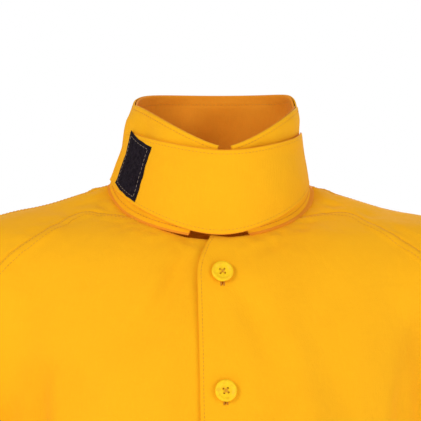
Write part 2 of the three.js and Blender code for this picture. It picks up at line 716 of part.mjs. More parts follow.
// A flap starts at its hinge, leans out over the pocket's mouth and then hangs in front of it.
// across is the share of the pocket's width from its middle, and down is from the hinge.
function flapAt(across, down, out) {
  const place = facing(POCKET.middle + POCKET.width * across, POCKET_TOP + FLAP.rise - down);
  const lean = THREE.MathUtils.smoothstep(down, 0, FLAP.rise - 2);
  const clear = POCKET.mouth * bagSwell(across) + LAYER + 2 * TAPE_LAYER;
  return onForm(place, FLAP_STAND + clear * lean + out);
}
function pocketFlap(side) {
  const half = 0.5 + FLAP.extra / POCKET.width;
  return sheet(12, 8, (u, v, w) =>
    mirrored(flapAt(half * (2 * u - 1), FLAP.height * v ** 1.5, CLOTH * w), side),
  );
}
function flapHook(side) {
  const width = FLAP_TAPE.width / POCKET.width;
  return sheet(5, 2, (u, v, w) =>
    mirrored(flapAt(width * (u - 0.5), FLAP_TAPE.down + FLAP_TAPE.height * v, -GAP - TAPE * w), side),
  );
}
function pocketLoop(side) {
  const width = FLAP_TAPE.width / POCKET.width;
  return sheet(5, 2, (u, v, w) => {
    const z = POCKET_TOP + FLAP.rise - FLAP_TAPE.down - FLAP_TAPE.height * v;
    const place = facing(POCKET.middle + POCKET.width * width * (u - 0.5), z);
    return mirrored(onForm(place, bagHeight(width * (u - 0.5), z) + LAYER + TAPE * w), side);
  });
}

// ------------------------------------------------------------------ cuffs

// A place on the sleeve: up is the distance from the wrist, and angle is 0 outward and 90 forward.
function onSleeve(up, angle, height) {
  const turn = THREE.MathUtils.degToRad(angle);
  const along = 1 - up / SLEEVE_LENGTH;
  const half = sleeveHalf(along);
  const place = armAxis(along)
    .addScaledVector(OUTWARD, half.side * Math.cos(turn))
    .addScaledVector(FORWARD, half.front * Math.sin(turn));
  return onForm(place, height);
}
const CUFF_IN = GAP + 0.4;
const CUFF_OUT = CUFF_IN + CLOTH;
function cuffBand(side) {
  const slit = 0.4;
  return sheet(32, 1, (u, v, w) =>
    mirrored(onSleeve(2 + CUFF_HEIGHT * v, 180 + slit + (360 - 2 * slit) * u, CUFF_IN + CLOTH * w), side),
  );
}
const WRIST_TAB_IN = CUFF_OUT + GAP + 2 * TAPE_LAYER;
const WRIST_TAB_FOOT = 2 + (CUFF_HEIGHT - WRIST_TAB.height) / 2;
function wristTab(side) {
  return sheet(12, 1, (u, v, w) => {
    const angle = WRIST_TAB.start + WRIST_TAB.reach * u;
    const up = WRIST_TAB_FOOT + WRIST_TAB.height * v;
    return mirrored(onSleeve(up, angle, WRIST_TAB_IN + CLOTH * w), side);
  });
}
function wristTape(side, from, to, inner) {
  return sheet(6, 1, (u, v, w) => {
    const up = WRIST_TAB_FOOT + 4 + (WRIST_TAB.height - 8) * v;
    return mirrored(onSleeve(up, THREE.MathUtils.lerp(from, to, u), inner + TAPE * w), side);
  });
}

// ------------------------------------------------------------------ hanger loop

// A flat webbing loop inside the back of the neck, sewn down at both ends.
function hangerLoop() {
  const [half, round] = [LOOP.span / 2, LOOP.drop / 2];
  const outline = new THREE.Shape();
  outline.moveTo(-half, 0);
  outline.lineTo(-half, -LOOP.drop + round);
  outline.absarc(-half + round, -LOOP.drop + round, round, Math.PI, Math.PI * 1.5);
  outline.lineTo(half - round, -LOOP.drop);
  outline.absarc(half - round, -LOOP.drop + round, round, -Math.PI / 2, 0);
  outline.lineTo(half, 0);
  outline.lineTo(half - LOOP.width, 0);
  outline.lineTo(half - LOOP.width, -LOOP.drop + LOOP.width);
  outline.lineTo(-half + LOOP.width, -LOOP.drop + LOOP.width);
  outline.lineTo(-half + LOOP.width, 0);
  outline.closePath();
  return new THREE.ExtrudeGeometry(outline, { depth: LOOP.thickness, bevelEnabled: false, curveSegments: 4 });
}

// ------------------------------------------------------------------ materials

const cloth = (color) => new THREE.MeshStandardMaterial({ color, roughness: 0.85, metalness: 0 });
const SHELL = cloth(0xfcb614);
const LINING = cloth(0xe09a20);
const BLACK_TAPE = cloth(0x1b1a1e);
const THREAD = cloth(0xe8b450);
const BUTTON = new THREE.MeshStandardMaterial({ color: 0xf8c414, roughness: 0.35, metalness: 0 });

// ------------------------------------------------------------------ assembly

const coat = new THREE.Group();
function add(name, geometry, material) {
  const mesh = new THREE.Mesh(geometry, material);
  mesh.name = name;
  coat.add(mesh);
  return mesh;
}

add("left_front_panel", cut(frontPanel(1), cornerTool(1), ...buttonholes), SHELL);
add("right_front_panel", cut(frontPanel(-1), cornerTool(-1)), SHELL);
add("left_front_facing", cut(frontFacing(1), cornerTool(1), ...buttonholes), LINING);
add("right_front_facing", cut(frontFacing(-1), cornerTool(-1)), LINING);
add("back_panel", backPanel(), SHELL);

add("collar_outer", collarLayer(COLLAR_LAYER, 0), SHELL);
add("collar_stiffener", collarLayer(0, 1), LINING);
add("collar_lining", collarLayer(-COLLAR_LAYER, 0), LINING);
const FASTENING_FOOT = 14;
const FASTENING_HEIGHT = 46;
add(
  "collar_loop_patch",
  neckTape(HOOK_ANGLE - 4, FASTENING_WIDTH + 8, FASTENING_FOOT, FASTENING_HEIGHT + 8, COLLAR_OUT + GAP),
  BLACK_TAPE,
);
add("throat_tab_lining", tabLayer(TAB_IN, 1), LINING);
add("throat_tab_outer", tabLayer(TAB_IN + LAYER, 0), SHELL);
add(
  "throat_tab_hook_patch",
  neckTape(HOOK_ANGLE, FASTENING_WIDTH, FASTENING_FOOT + 2, FASTENING_HEIGHT - 4, TAB_IN - TAPE_LAYER),
  BLACK_TAPE,
);
add(
  "throat_tab_loop_patch",
  neckTape(PATCH_ANGLE, PATCH.width, 19, PATCH.height, TAB_IN + 2 * LAYER),
  BLACK_TAPE,
);

buttonFrames.forEach((frame, i) => {
  add(`front_button_${i + 1}`, buttonBody().applyMatrix4(frame), BUTTON);
  add(`front_button_thread_${i + 1}`, buttonThread().applyMatrix4(frame), THREAD);
});

for (const [name, side] of [
  ["left", 1],
  ["right", -1],
]) {
  add(`${name}_sleeve_front`, sleevePanel(side, -1), SHELL);
  add(`${name}_sleeve_back`, sleevePanel(side, 1), SHELL);
  add(`${name}_cuff_band`, cuffBand(side), SHELL);
  const end = WRIST_TAB.start + WRIST_TAB.reach;
  add(`${name}_wrist_tab`, wristTab(side), SHELL);
  add(`${name}_wrist_hook_patch`, wristTape(side, end - 30, end - 4, WRIST_TAB_IN - TAPE_LAYER), BLACK_TAPE);
  add(`${name}_wrist_loop_patch`, wristTape(side, end - 46, end - 4, CUFF_OUT + GAP), BLACK_TAPE);
  add(`${name}_pocket_bag`, pocketBag(side), SHELL);
  add(`${name}_pocket_loop_patch`, pocketLoop(side), BLACK_TAPE);
  add(`${name}_pocket_flap`, pocketFlap(side), SHELL);
  add(`${name}_pocket_hook_patch`, flapHook(side), BLACK_TAPE);
}

const loop = add("hanger_loop", hangerLoop(), LINING);
loop.rotation.x = Math.PI / 2;
loop.position.set(0, NECK_BACK - 6.5, NECK_RISE - 0.6);

export default coat;
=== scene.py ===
"""A firefighter's single-layer turnout coat, standing as if worn.

Metres, +Z up, -Y the front, +X the wearer's left. Lengths inside the classes are in
millimetres, and each mesh is scaled once, when it is made.
"""

import json
import logging
import math
from dataclasses import dataclass, field
from enum import Enum
from typing import Callable, Sequence

import bpy
import numpy as np
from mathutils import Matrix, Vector

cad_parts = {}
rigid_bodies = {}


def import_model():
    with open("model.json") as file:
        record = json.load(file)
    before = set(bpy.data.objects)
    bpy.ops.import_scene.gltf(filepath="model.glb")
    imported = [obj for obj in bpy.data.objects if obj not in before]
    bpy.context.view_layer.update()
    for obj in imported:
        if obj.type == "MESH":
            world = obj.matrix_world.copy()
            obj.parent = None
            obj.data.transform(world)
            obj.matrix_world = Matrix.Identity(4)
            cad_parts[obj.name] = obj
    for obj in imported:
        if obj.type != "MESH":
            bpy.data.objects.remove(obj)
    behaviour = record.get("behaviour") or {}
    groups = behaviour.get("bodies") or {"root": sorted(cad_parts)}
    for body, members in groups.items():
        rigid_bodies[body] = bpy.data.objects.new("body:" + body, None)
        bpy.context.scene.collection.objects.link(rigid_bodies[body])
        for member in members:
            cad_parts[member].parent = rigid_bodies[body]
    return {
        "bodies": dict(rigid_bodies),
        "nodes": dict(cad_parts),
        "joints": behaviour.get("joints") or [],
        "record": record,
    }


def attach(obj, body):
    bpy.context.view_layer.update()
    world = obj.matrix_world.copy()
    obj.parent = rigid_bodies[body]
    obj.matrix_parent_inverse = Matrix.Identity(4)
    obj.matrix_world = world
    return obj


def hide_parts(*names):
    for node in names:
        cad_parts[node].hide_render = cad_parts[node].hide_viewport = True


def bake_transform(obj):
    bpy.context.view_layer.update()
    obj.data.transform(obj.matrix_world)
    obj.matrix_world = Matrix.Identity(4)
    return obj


log = logging.getLogger("turnout_coat")
MM = 0.001
Array = np.ndarray
Surface = Callable[[Array, Array], Array]


class Slot(Enum):
    """The record's material slots."""

    SHELL = "shell_cloth"
    LINING = "lining_cloth"
    TAPE = "hook_and_loop"
    BUTTON = "button_plastic"
    THREAD = "thread"


class Side(Enum):
    """Which side of the wearer a piece is on; the value mirrors x."""

    LEFT = 1
    RIGHT = -1

    @property
    def word(self) -> str:
        """Returns: the side's name in lower case."""
        return self.name.lower()


# ---------------------------------------------------------------- small helpers


def eased(t: Array, low: float = 0.0, high: float = 1.0) -> Array:
    """A smooth step.

    Args:
        t: values to ease.
        low: where the step starts.
        high: where it ends.

    Returns:
        0 before low, 1 after high, smooth between.
    """
    s = np.clip((np.asarray(t, float) - low) / (high - low), 0, 1)
    return s * s * (3 - 2 * s)


def unit(v: Array) -> Array:
    """Args: v: vectors along the last axis. Returns: the same directions at length one."""
    return v / np.maximum(np.linalg.norm(v, axis=-1, keepdims=True), 1e-12)


def through(knots: Sequence[tuple[float, float]]) -> Callable[[Array], Array]:
    """A smooth curve through knots that never overshoots them.

    Args:
        knots: (at, value) pairs in rising order.

    Returns:
        The curve as a function of at.
    """
    at = np.array([k[0] for k in knots], float)
    value = np.array([k[1] for k in knots], float)
    slope = np.diff(value) / np.diff(at)
    before = np.concatenate([slope[:1], slope])
    after = np.concatenate([slope, slope[-1:]])
    product = before * after
    total = np.where(np.abs(before + after) < 1e-12, 1, before + after)
    tangent = np.where(product <= 0, 0, 2 * product / total)

    def curve(x: Array) -> Array:
        x = np.clip(np.asarray(x, float), at[0], at[-1])
        i = np.clip(np.searchsorted(at, x, side="right") - 1, 0, len(at) - 2)
        width = at[i + 1] - at[i]
        t = (x - at[i]) / width
        rise = (3 - 2 * t) * t * t
        bend = (1 - t) * tangent[i] - t * tangent[i + 1]
        return value[i] * (1 - rise) + value[i + 1] * rise + width * t * (1 - t) * bend

    return curve


def along_line(points: Array, share: Array, closed: bool = False) -> Array:
    """Places at even shares of a smooth line's length.

    Args:
        points: (n, 3) places that the line passes through.
        share: values from 0 to 1.
        closed: whether the line returns to its start.

    Returns:
        (len(share), 3) places.
    """
    p = np.asarray(points, float)
    ends = (p[-1:], p[:1], p[1:2]) if closed else (2 * p[:1] - p[1:2], p[-1:], 2 * p[-1:] - p[-2:-1])
    q = np.concatenate([ends[0], p, ends[1], ends[2]]) if closed else np.concatenate([ends[0], p, ends[2]])
    knot = np.concatenate([[0], np.cumsum(np.sqrt(np.linalg.norm(np.diff(q, axis=0), axis=1)) + 1e-9)])
    fine: list[Array] = []
    for i in range(1, len(q) - 2):
        t = np.linspace(knot[i], knot[i + 1], 24, endpoint=False)[:, None]
        t0, t1, t2, t3 = knot[i - 1 : i + 3]
        a1 = (t1 - t) / (t1 - t0) * q[i - 1] + (t - t0) / (t1 - t0) * q[i]
        a2 = (t2 - t) / (t2 - t1) * q[i] + (t - t1) / (t2 - t1) * q[i + 1]
        a3 = (t3 - t) / (t3 - t2) * q[i + 1] + (t - t2) / (t3 - t2) * q[i + 2]
        b1 = (t2 - t) / (t2 - t0) * a1 + (t - t0) / (t2 - t0) * a2
        b2 = (t3 - t) / (t3 - t1) * a2 + (t - t1) / (t3 - t1) * a3
        fine.append((t2 - t) / (t2 - t1) * b1 + (t - t1) / (t2 - t1) * b2)
    line = np.concatenate([*fine, q[-2][None]])
    return resampled(line, share)


def resampled(line: Array, share: Array) -> Array:
    """Args: line: (n, 3) places close together; share: 0 to 1. Returns: places at those shares of its length."""
    run = np.concatenate([[0], np.cumsum(np.linalg.norm(np.diff(line, axis=0), axis=1))])
    s = np.clip(np.asarray(share, float), 0, 1) * run[-1]
    return np.stack([np.interp(s, run, line[:, k]) for k in range(3)], axis=1)


class Ripple:
    """Smooth seeded noise in three dimensions, from summed waves, the same on every run."""

    def __init__(self, seed: int, scale: float, waves: int = 14) -> None:
        """Args: seed: picks the pattern; scale: the usual size of a bump, in mm; waves: how many are summed."""
        rng = np.random.default_rng(seed)
        way = unit(rng.normal(size=(waves, 3)))
        self.k = way * (2 * math.pi / (scale * rng.uniform(1.4, 3.2, waves)))[:, None]
        self.phase = rng.uniform(0, 2 * math.pi, waves)
        self.waves = waves

    def __call__(self, p: Array, stretch: Sequence[float] = (1, 1, 1)) -> Array:
        """Args: p: (..., 3) places in mm; stretch: how long bumps are along each axis. Returns: values near -1..1."""
        q = np.asarray(p, float) / np.array(stretch, float)
        return np.sin(q @ self.k.T + self.phase).sum(axis=-1) / math.sqrt(self.waves / 2)


# ---------------------------------------------------------------- the worn form


@dataclass(frozen=True)
class CoatSize:
    """The coat's driving dimensions, in millimetres and degrees."""

    cloth: float = 1.2
    tape: float = 1.5
    gap: float = 0.4
    neck_half_width: float = 103
    neck_front: float = 82
    neck_back: float = 66
    neck_drop: float = 50
    neck_rise: float = 8
    neck_top: float = 20
    body_length: float = 800
    shoulder_half_width: float = 240
    shoulder_slope: float = 17.4
    chest_half_width: float = 206
    chest_front: float = 145
    chest_back: float = 136
    chest_drop: float = 280
    hem_half_width: float = 246
    hem_front: float = 158
    hem_back: float = 146
    sleeve_reach: tuple[float, float, float] = (140, -35, -485)
    sleeve_bow: tuple[float, float] = (27, 18)
    sleeve_top: tuple[float, float] = (66, 82)
    sleeve_wrist: tuple[float, float] = (54, 60)
    even: float = 2.5
    blend: float = 24
    overlap: float = 24
    raglan_front_angle: float = 54.5
    raglan_back_angle: float = 145

    @property
    def layer(self) -> float:
        """Returns: one cloth and the air under it."""
        return self.cloth + self.gap

    @property
    def shoulder_drop(self) -> float:
        """Returns: how far the shoulder's point lies below the neck's side."""
        return (self.shoulder_half_width - self.neck_half_width) * math.tan(math.radians(self.shoulder_slope))


class WornForm:
    """The skin that the coat's cloth lies on: a torso and two arms, blended."""

    def __init__(self, size: CoatSize) -> None:
        """Args: size: the coat's dimensions."""
        s = self.size = size
        drop, top = s.shoulder_drop, s.neck_top
        self.half_width = through([
            (-s.body_length, s.hem_half_width),
            (-s.chest_drop, s.chest_half_width),
            (-s.chest_drop * 0.6, s.chest_half_width + 8),
            (-drop - 25, s.shoulder_half_width + 2),
            (-drop, s.shoulder_half_width),
            (-drop / 2, (s.shoulder_half_width + s.neck_half_width) / 2),
            (0, s.neck_half_width),
            (top, s.neck_half_width * 0.6),
        ])
        self.front_depth = through([
            (-s.body_length, s.hem_front),
            (-s.chest_drop, s.chest_front),
            (-s.neck_drop - 130, s.chest_front - 12),
            (-s.neck_drop - 55, s.neck_front + 31),
            (-s.neck_drop - 22, s.neck_front + 17),
            (-s.neck_drop, s.neck_front),
            (-s.neck_drop * 0.5, s.neck_front * 0.52),
            (0, s.neck_front * 0.16),
            (top, s.neck_front * 0.1),
        ])
        self.back_depth = through([
            (-s.body_length, s.hem_back),
            (-s.chest_drop, s.chest_back),
            (-120, s.neck_back + 60),
            (-55, s.neck_back + 45),
            (-18, s.neck_back + 31),
            (s.neck_rise / 2, s.neck_back + 17),
            (s.neck_rise, s.neck_back),
            (top, s.neck_back * 0.6),
        ])
        self.joint = np.array([s.chest_half_width - 1, 5.0, -108.0])
        self.reach = np.array(s.sleeve_reach, float)
        self.sleeve_length = float(np.linalg.norm(self.reach))
        self.along = unit(self.reach)
        self.outward = unit(np.cross([0.0, -1.0, 0.0], self.along))
        self.forward = unit(np.cross(self.outward, self.along))
        if self.forward[1] > 0:
            self.forward = -self.forward

    def arm_axis(self, t: Array) -> Array:
        """Args: t: 0 at the shoulder joint to 1 at the wrist. Returns: places on the left arm's axis."""
        t = np.asarray(t, float)[..., None]
        bow = 4 * t * (1 - t)
        out, back = self.size.sleeve_bow
        return self.joint + self.reach * t + self.outward * (out * bow) - self.forward * (back * bow)

    def sleeve_half(self, t: Array) -> tuple[Array, Array]:
        """Args: t: as for arm_axis. Returns: the sleeve's half sizes, sideways and to the front."""
        (a, b), (c, d) = self.size.sleeve_top, self.size.sleeve_wrist
        t = np.asarray(t, float)
        return a + (c - a) * t, b + (d - b) * t

    def value(self, p: Array) -> Array:
        """Args: p: (..., 3) places. Returns: below nought inside the coat, above it outside."""
        s = self.size
        x, y, z = np.abs(p[..., 0]), p[..., 1], p[..., 2]
        wide = self.half_width(z)
        deep = np.where(y < 0, self.front_depth(z), self.back_depth(z))
        torso = (((x / wide) ** s.even + (np.abs(y) / deep) ** s.even) ** (1 / s.even) - 1) * np.minimum(wide, deep)
        q = np.stack([x, y, z], axis=-1)
        t = np.clip((q - self.joint) @ self.along / self.sleeve_length, 0, 1.1)
        side, front = self.sleeve_half(t)
        q = q - self.arm_axis(t)
        arm = (
            np.sqrt((q @ self.outward / side) ** 2 + (q @ self.forward / front) ** 2 + (q @ self.along / side) ** 2) - 1
        ) * side
        near = np.maximum(s.blend - np.abs(torso - arm), 0)
        return np.minimum(torso, arm) - near**2 / (4 * s.blend)

    def slope(self, p: Array) -> Array:
        """Args: p: (..., 3) places. Returns: the value's gradient there."""
        step = np.eye(3) * 0.25
        return np.stack([(self.value(p + d) - self.value(p - d)) / 0.5 for d in step], axis=-1)

    def normal(self, p: Array) -> Array:
        """Args: p: (..., 3) places. Returns: the direction straight out from the skin."""
        return unit(self.slope(p))

    def onto(self, p: Array, height: Array | float = 0.0, rounds: int = 9) -> Array:
        """Args: p: places near the skin; height: above it, in mm; rounds: of Newton's method. Returns: places on it."""
        p = np.array(p, float)
        for _ in range(rounds):
            out = self.slope(p)
            step = out * (-self.value(p) / np.maximum((out * out).sum(-1), 1e-9))[..., None]
            far = np.linalg.norm(step, axis=-1, keepdims=True)
            p = p + step * np.minimum(1, 8 / np.maximum(far, 1e-9))
        if np.ndim(height) or height:
            p = p + self.normal(p) * np.asarray(height, float)[..., None]
        return p

    def out_to(self, start: Array, way: Array) -> Array:
        """Args: start: places inside; way: directions out. Returns: where each line first meets the skin."""
        start, way = np.broadcast_arrays(np.asarray(start, float), np.asarray(way, float))
        inside = np.zeros(start.shape[:-1])
        going = np.ones_like(inside, bool)
        for _ in range(50):
            going = going & (self.value(start + way * (inside + 8)[..., None]) <= 0)
            if not going.any():
                break
            inside = inside + 8 * going
        low, high = inside, inside + 8
        for _ in range(16):
            middle = (low + high) / 2
            out = self.value(start + way * middle[..., None]) > 0
            low, high = np.where(out, low, middle), np.where(out, middle, high)
        return start + way * low[..., None]

    def facing(self, x: Array, z: Array, side: float = -1.0) -> Array:
        """Args: x, z: the place seen square on; side: -1 front, 1 back. Returns: the skin there."""
        x, z = np.broadcast_arrays(np.asarray(x, float), np.asarray(z, float))
        return self.out_to(np.stack([x, np.zeros_like(x), z], -1), np.array([0.0, side, 0.0]))


class Seams:
    """The lines along which the coat's panels are sewn, as places on the form (the wearer's left)."""

    def __init__(self, form: WornForm) -> None:
        """Args: form: the skin that the seams lie on."""
        self.form = form
        s = form.size
        turn = np.radians(np.arange(0, 360, 5))
        front = np.cos(turn)
        rough = np.stack([
            s.neck_half_width * np.sin(turn),
            np.where(front > 0, -s.neck_front, -s.neck_back) * front,
            np.where(front > 0, -s.neck_drop * np.abs(front) ** 0.85, -s.neck_rise * front),
        ], axis=1)
        self._neck = form.onto(rough, rounds=24)
        self.underarm = self._underarm()
        self.underarm_along = float((self.underarm - form.joint) @ form.along / form.sleeve_length)
        wide, drop = s.shoulder_half_width - s.neck_half_width, s.shoulder_drop
        self.shoulder_x = lambda share: s.neck_half_width + wide * share
        self.shoulder_z = lambda share: -drop * share
        fore = [(0.22, 17), (0.36, 20), (0.5, 24), (0.78, 40), (0.94, 70)]
        aft = [(0.1, 30), (0.55, 65), (0.86, 110)]
        self._front = self._raglan(s.raglan_front_angle, -1, [
            *[(self.shoulder_x(a), self.shoulder_z(a) - b) for a, b in fore],
            (self.shoulder_x(0.96), self.shoulder_z(1) - 140),
            (s.chest_half_width + 19, -s.chest_drop * 0.87),
        ])
        self._back = self._raglan(s.raglan_back_angle, 1, [
            *[(self.shoulder_x(a), self.shoulder_z(a) - b) for a, b in aft],
            (self.shoulder_x(0.93), self.shoulder_z(1) - 155),
            (s.chest_half_width + 19, -s.chest_drop * 0.9),
        ])

    def neck(self, angle: Array) -> Array:
        """Args: angle: degrees, 0 at the front and 90 at the wearer's left. Returns: places on the neck seam."""
        a = np.mod(np.asarray(angle, float) / 5, 72)
        i = np.floor(a).astype(int)
        t = (a - i)[..., None]
        p0, p1, p2, p3 = (self._neck[(i + k) % 72] for k in (-1, 0, 1, 2))
        return 0.5 * (
            2 * p1 + (p2 - p0) * t + (2 * p0 - 5 * p1 + 4 * p2 - p3) * t**2 + (3 * p1 - p0 - 3 * p2 + p3) * t**3
        )

    def _underarm(self) -> Array:
        """Returns: the top of the gap between the left arm and the torso."""
        s = self.form.size
        x, low, high = s.chest_half_width + 9, -s.chest_drop - 90, -s.chest_drop + 90
        for _ in range(40):
            middle = (low + high) / 2
            if self.form.value(np.array([x, 0.0, middle])) > 0:
                low = middle
            else:
                high = middle
        return np.array([x, 0.0, low])

    def _raglan(self, angle: float, side: float, stops: Sequence[tuple[float, float]]) -> Array:
        """Args: angle: where it leaves the neck; side: -1 front, 1 back; stops: (x, z). Returns: a fine line."""
        xz = np.array(stops)
        places = np.concatenate(
            [self.neck(np.array([angle])), self.form.facing(xz[:, 0], xz[:, 1], side), self.underarm[None]]
        )
        return self.form.onto(along_line(places, np.linspace(0, 1, 200)), rounds=14)

    def raglan(self, t: Array, front: bool) -> Array:
        """Args: t: 0 at the neck to 1 at the underarm; front: which one. Returns: places on the raglan seam."""
        return resampled(self._front if front else self._back, t)

    def side(self, t: Array) -> Array:
        """Args: t: 0 at the underarm to 1 at the hem. Returns: places on the side seam."""
        t = np.asarray(t, float)
        z = self.underarm[2] + (-self.form.size.body_length - self.underarm[2]) * t
        p = np.stack([self.form.half_width(z), np.zeros_like(z), z], -1)
        share = ((1 - eased(t * 6)) ** 2)[..., None]
        return p * (1 - share) + self.underarm * share

    def underside(self, t: Array) -> Array:
        """Args: t: 0 at the underarm to 1 at the wrist. Returns: places on the sleeve's under seam."""
        t = np.asarray(t, float)
        along = self.underarm_along + (1 - self.underarm_along) * t
        p = self.form.arm_axis(along) - self.form.outward * self.form.sleeve_half(along)[0][..., None]
        share = ((1 - eased(t * 6)) ** 2)[..., None]
        return p * (1 - share) + self.underarm * share

    def overarm(self, t: Array) -> Array:
        """Args: t: 0 at the neck to 1 at the wrist. Returns: places over the shoulder and down the sleeve."""
        t = np.asarray(t, float)
        f, on_shoulder = self.form, 0.36
        turn = self.underarm_along * 0.35

        def arm(share: Array) -> Array:
            return f.arm_axis(share) + f.outward * f.sleeve_half(share)[0][..., None]

        ridge = np.stack([
            self.neck(np.array(90.0)),
            np.array([self.shoulder_x(0.45), 0, self.shoulder_z(0.45)]),
            np.array([self.shoulder_x(0.92), 0, self.shoulder_z(0.92)]),
            arm(np.array(turn)),
        ])
        upper = along_line(ridge, np.clip(t / on_shoulder, 0, 1))
        lower = arm(turn + (1 - turn) * np.clip((t - on_shoulder) / (1 - on_shoulder), 0, 1))
        return np.where((t < on_shoulder)[..., None], upper, lower)


# ---------------------------------------------------------------- meshes


@dataclass
class Grid:
    """A sheet of cloth as rows of places: rows run along it, columns across it."""

    places: Array
    out: Array
    flat: Array
    edge: Array = field(default_factory=lambda: np.zeros((0, 0)))

    @classmethod
    def of(cls, places: Array, out: Array) -> "Grid":
        """Args: places, out: (rows, columns, 3). Returns: the grid with its flat cloth coordinates, in mm."""
        across = np.linalg.norm(np.diff(places, axis=1), axis=2)
        down = np.linalg.norm(np.diff(places, axis=0), axis=2)
        u = np.concatenate([np.zeros((places.shape[0], 1)), np.cumsum(across, axis=1)], axis=1)
        u = u - u[:, u.shape[1] // 2][:, None]
        v = np.concatenate([np.zeros((1, places.shape[1])), np.cumsum(down, axis=0)], axis=0)
        return cls(places, out, np.stack([u, v], axis=-1))

    def mirrored(self) -> "Grid":
        """Returns: the same sheet on the wearer's other side, wound so that it still faces out."""
        flip = np.array([-1.0, 1, 1])
        edge = self.edge[:, ::-1] if self.edge.size else self.edge
        return Grid((self.places * flip)[:, ::-1], (self.out * flip)[:, ::-1], self.flat[:, ::-1], edge)

    def raised(self, height: Array | float) -> "Grid":
        """Args: height: above the sheet, in mm. Returns: the same sheet further out."""
        return Grid(self.places + self.out * np.asarray(height, float)[..., None], self.out, self.flat, self.edge)


def true_normals(places: Array, guide: Array) -> Array:
    """Args: places: (rows, columns, 3); guide: the side to face. Returns: the sheet's own normals."""
    n = unit(np.cross(np.gradient(places, axis=1), np.gradient(places, axis=0)))
    return n * np.where((n * guide).sum(-1, keepdims=True) < 0, -1, 1)


def sheet_mesh(name: str, grid: Grid, thickness: float, rounded: bool = True) -> bpy.types.Object:
    """One layer of cloth as a closed sheet with softly rounded edges.

    Args:
        name: the piece's name.
        grid: its outer face.
        thickness: in mm, measured inwards.
        rounded: whether the rim gets a middle row, so that it reads as a folded edge.

    Returns:
        The new object, in metres, with a uv map of the flat cloth in metres.
    """
    rows, columns = grid.places.shape[:2]
    n = true_normals(grid.places, grid.out)
    outer, inner = grid.places, grid.places - n * thickness
    ring = [(0, i) for i in range(columns)] + [(j, columns - 1) for j in range(1, rows)]
    ring += [(rows - 1, i) for i in range(columns - 2, -1, -1)] + [(j, 0) for j in range(rows - 2, 0, -1)]
    rj, ri = np.array(ring).T
    mid = (outer[rj, ri] + inner[rj, ri]) / 2
    way = unit(np.cross(np.roll(mid, -1, 0) - np.roll(mid, 1, 0), n[rj, ri]))
    step_in = outer[np.clip(rj, 1, rows - 2), np.clip(ri, 1, columns - 2)] - outer[rj, ri]
    way = way * np.where((way * step_in).sum(-1, keepdims=True) > 0, -1, 1)
    bulge = mid + way * (0.35 * thickness if rounded else 0)
    verts = np.concatenate([outer.reshape(-1, 3), inner.reshape(-1, 3), bulge]) * MM
    flat = np.concatenate([grid.flat.reshape(-1, 2), grid.flat.reshape(-1, 2), grid.flat[rj, ri]]) * MM
    index = np.arange(rows * columns).reshape(rows, columns)
    a, b, c, d = index[:-1, :-1], index[:-1, 1:], index[1:, 1:], index[1:, :-1]
    top = np.stack([a, b, c, d], -1).reshape(-1, 4)
    flips = (
        (np.cross(outer[:-1, 1:] - outer[:-1, :-1], outer[1:, :-1] - outer[:-1, :-1])) * grid.out[:-1, :-1]
    ).sum() < 0
    if flips:
        top = top[:, ::-1]
    under = top[:, ::-1] + rows * columns
    k = len(ring)
    at = 2 * rows * columns + np.arange(k)
    nxt = np.roll(np.arange(k), -1)
    edge_out, edge_in = index[rj, ri], index[rj, ri] + rows * columns
    rim1 = np.stack([edge_out, at, at[nxt], edge_out[nxt]], -1)
    rim2 = np.stack([at, edge_in, edge_in[nxt], at[nxt]], -1)
    rim = np.concatenate([rim1, rim2])
    if flips:
        rim = rim[:, ::-1]
    faces = np.concatenate([top, under, rim])
    return raw_mesh(name, verts, faces, flat)


def raw_mesh(name: str, verts: Array, faces: Array, flat: Array | None = None, smooth: bool = True) -> bpy.types.Object:
    """Args: name; verts in metres; faces: (n, 3 or 4) corners; flat: uv per corner, in metres. Returns: the new
    object.
    """
    mesh = bpy.data.meshes.new(name)
    sides = faces.shape[1]
    mesh.vertices.add(len(verts))
    mesh.vertices.foreach_set("co", np.asarray(verts, np.float32).ravel())
    mesh.loops.add(faces.size)
    mesh.loops.foreach_set("vertex_index", np.asarray(faces, np.int32).ravel())
    mesh.polygons.add(len(faces))
    mesh.polygons.foreach_set("loop_start", np.arange(0, faces.size, sides, dtype=np.int32))
    mesh.update(calc_edges=True)
    mesh.validate()
    if flat is not None:
        layer = mesh.uv_layers.new(name="cloth")
        corner = np.empty(len(mesh.loops), np.int32)
        mesh.loops.foreach_get("vertex_index", corner)
        layer.data.foreach_set("uv", np.asarray(flat, np.float32)[corner].ravel())
    mesh.polygons.foreach_set("use_smooth", np.full(len(mesh.polygons), smooth))
    obj = bpy.data.objects.new(name, mesh)
    bpy.context.scene.collection.objects.link(obj)
    return obj


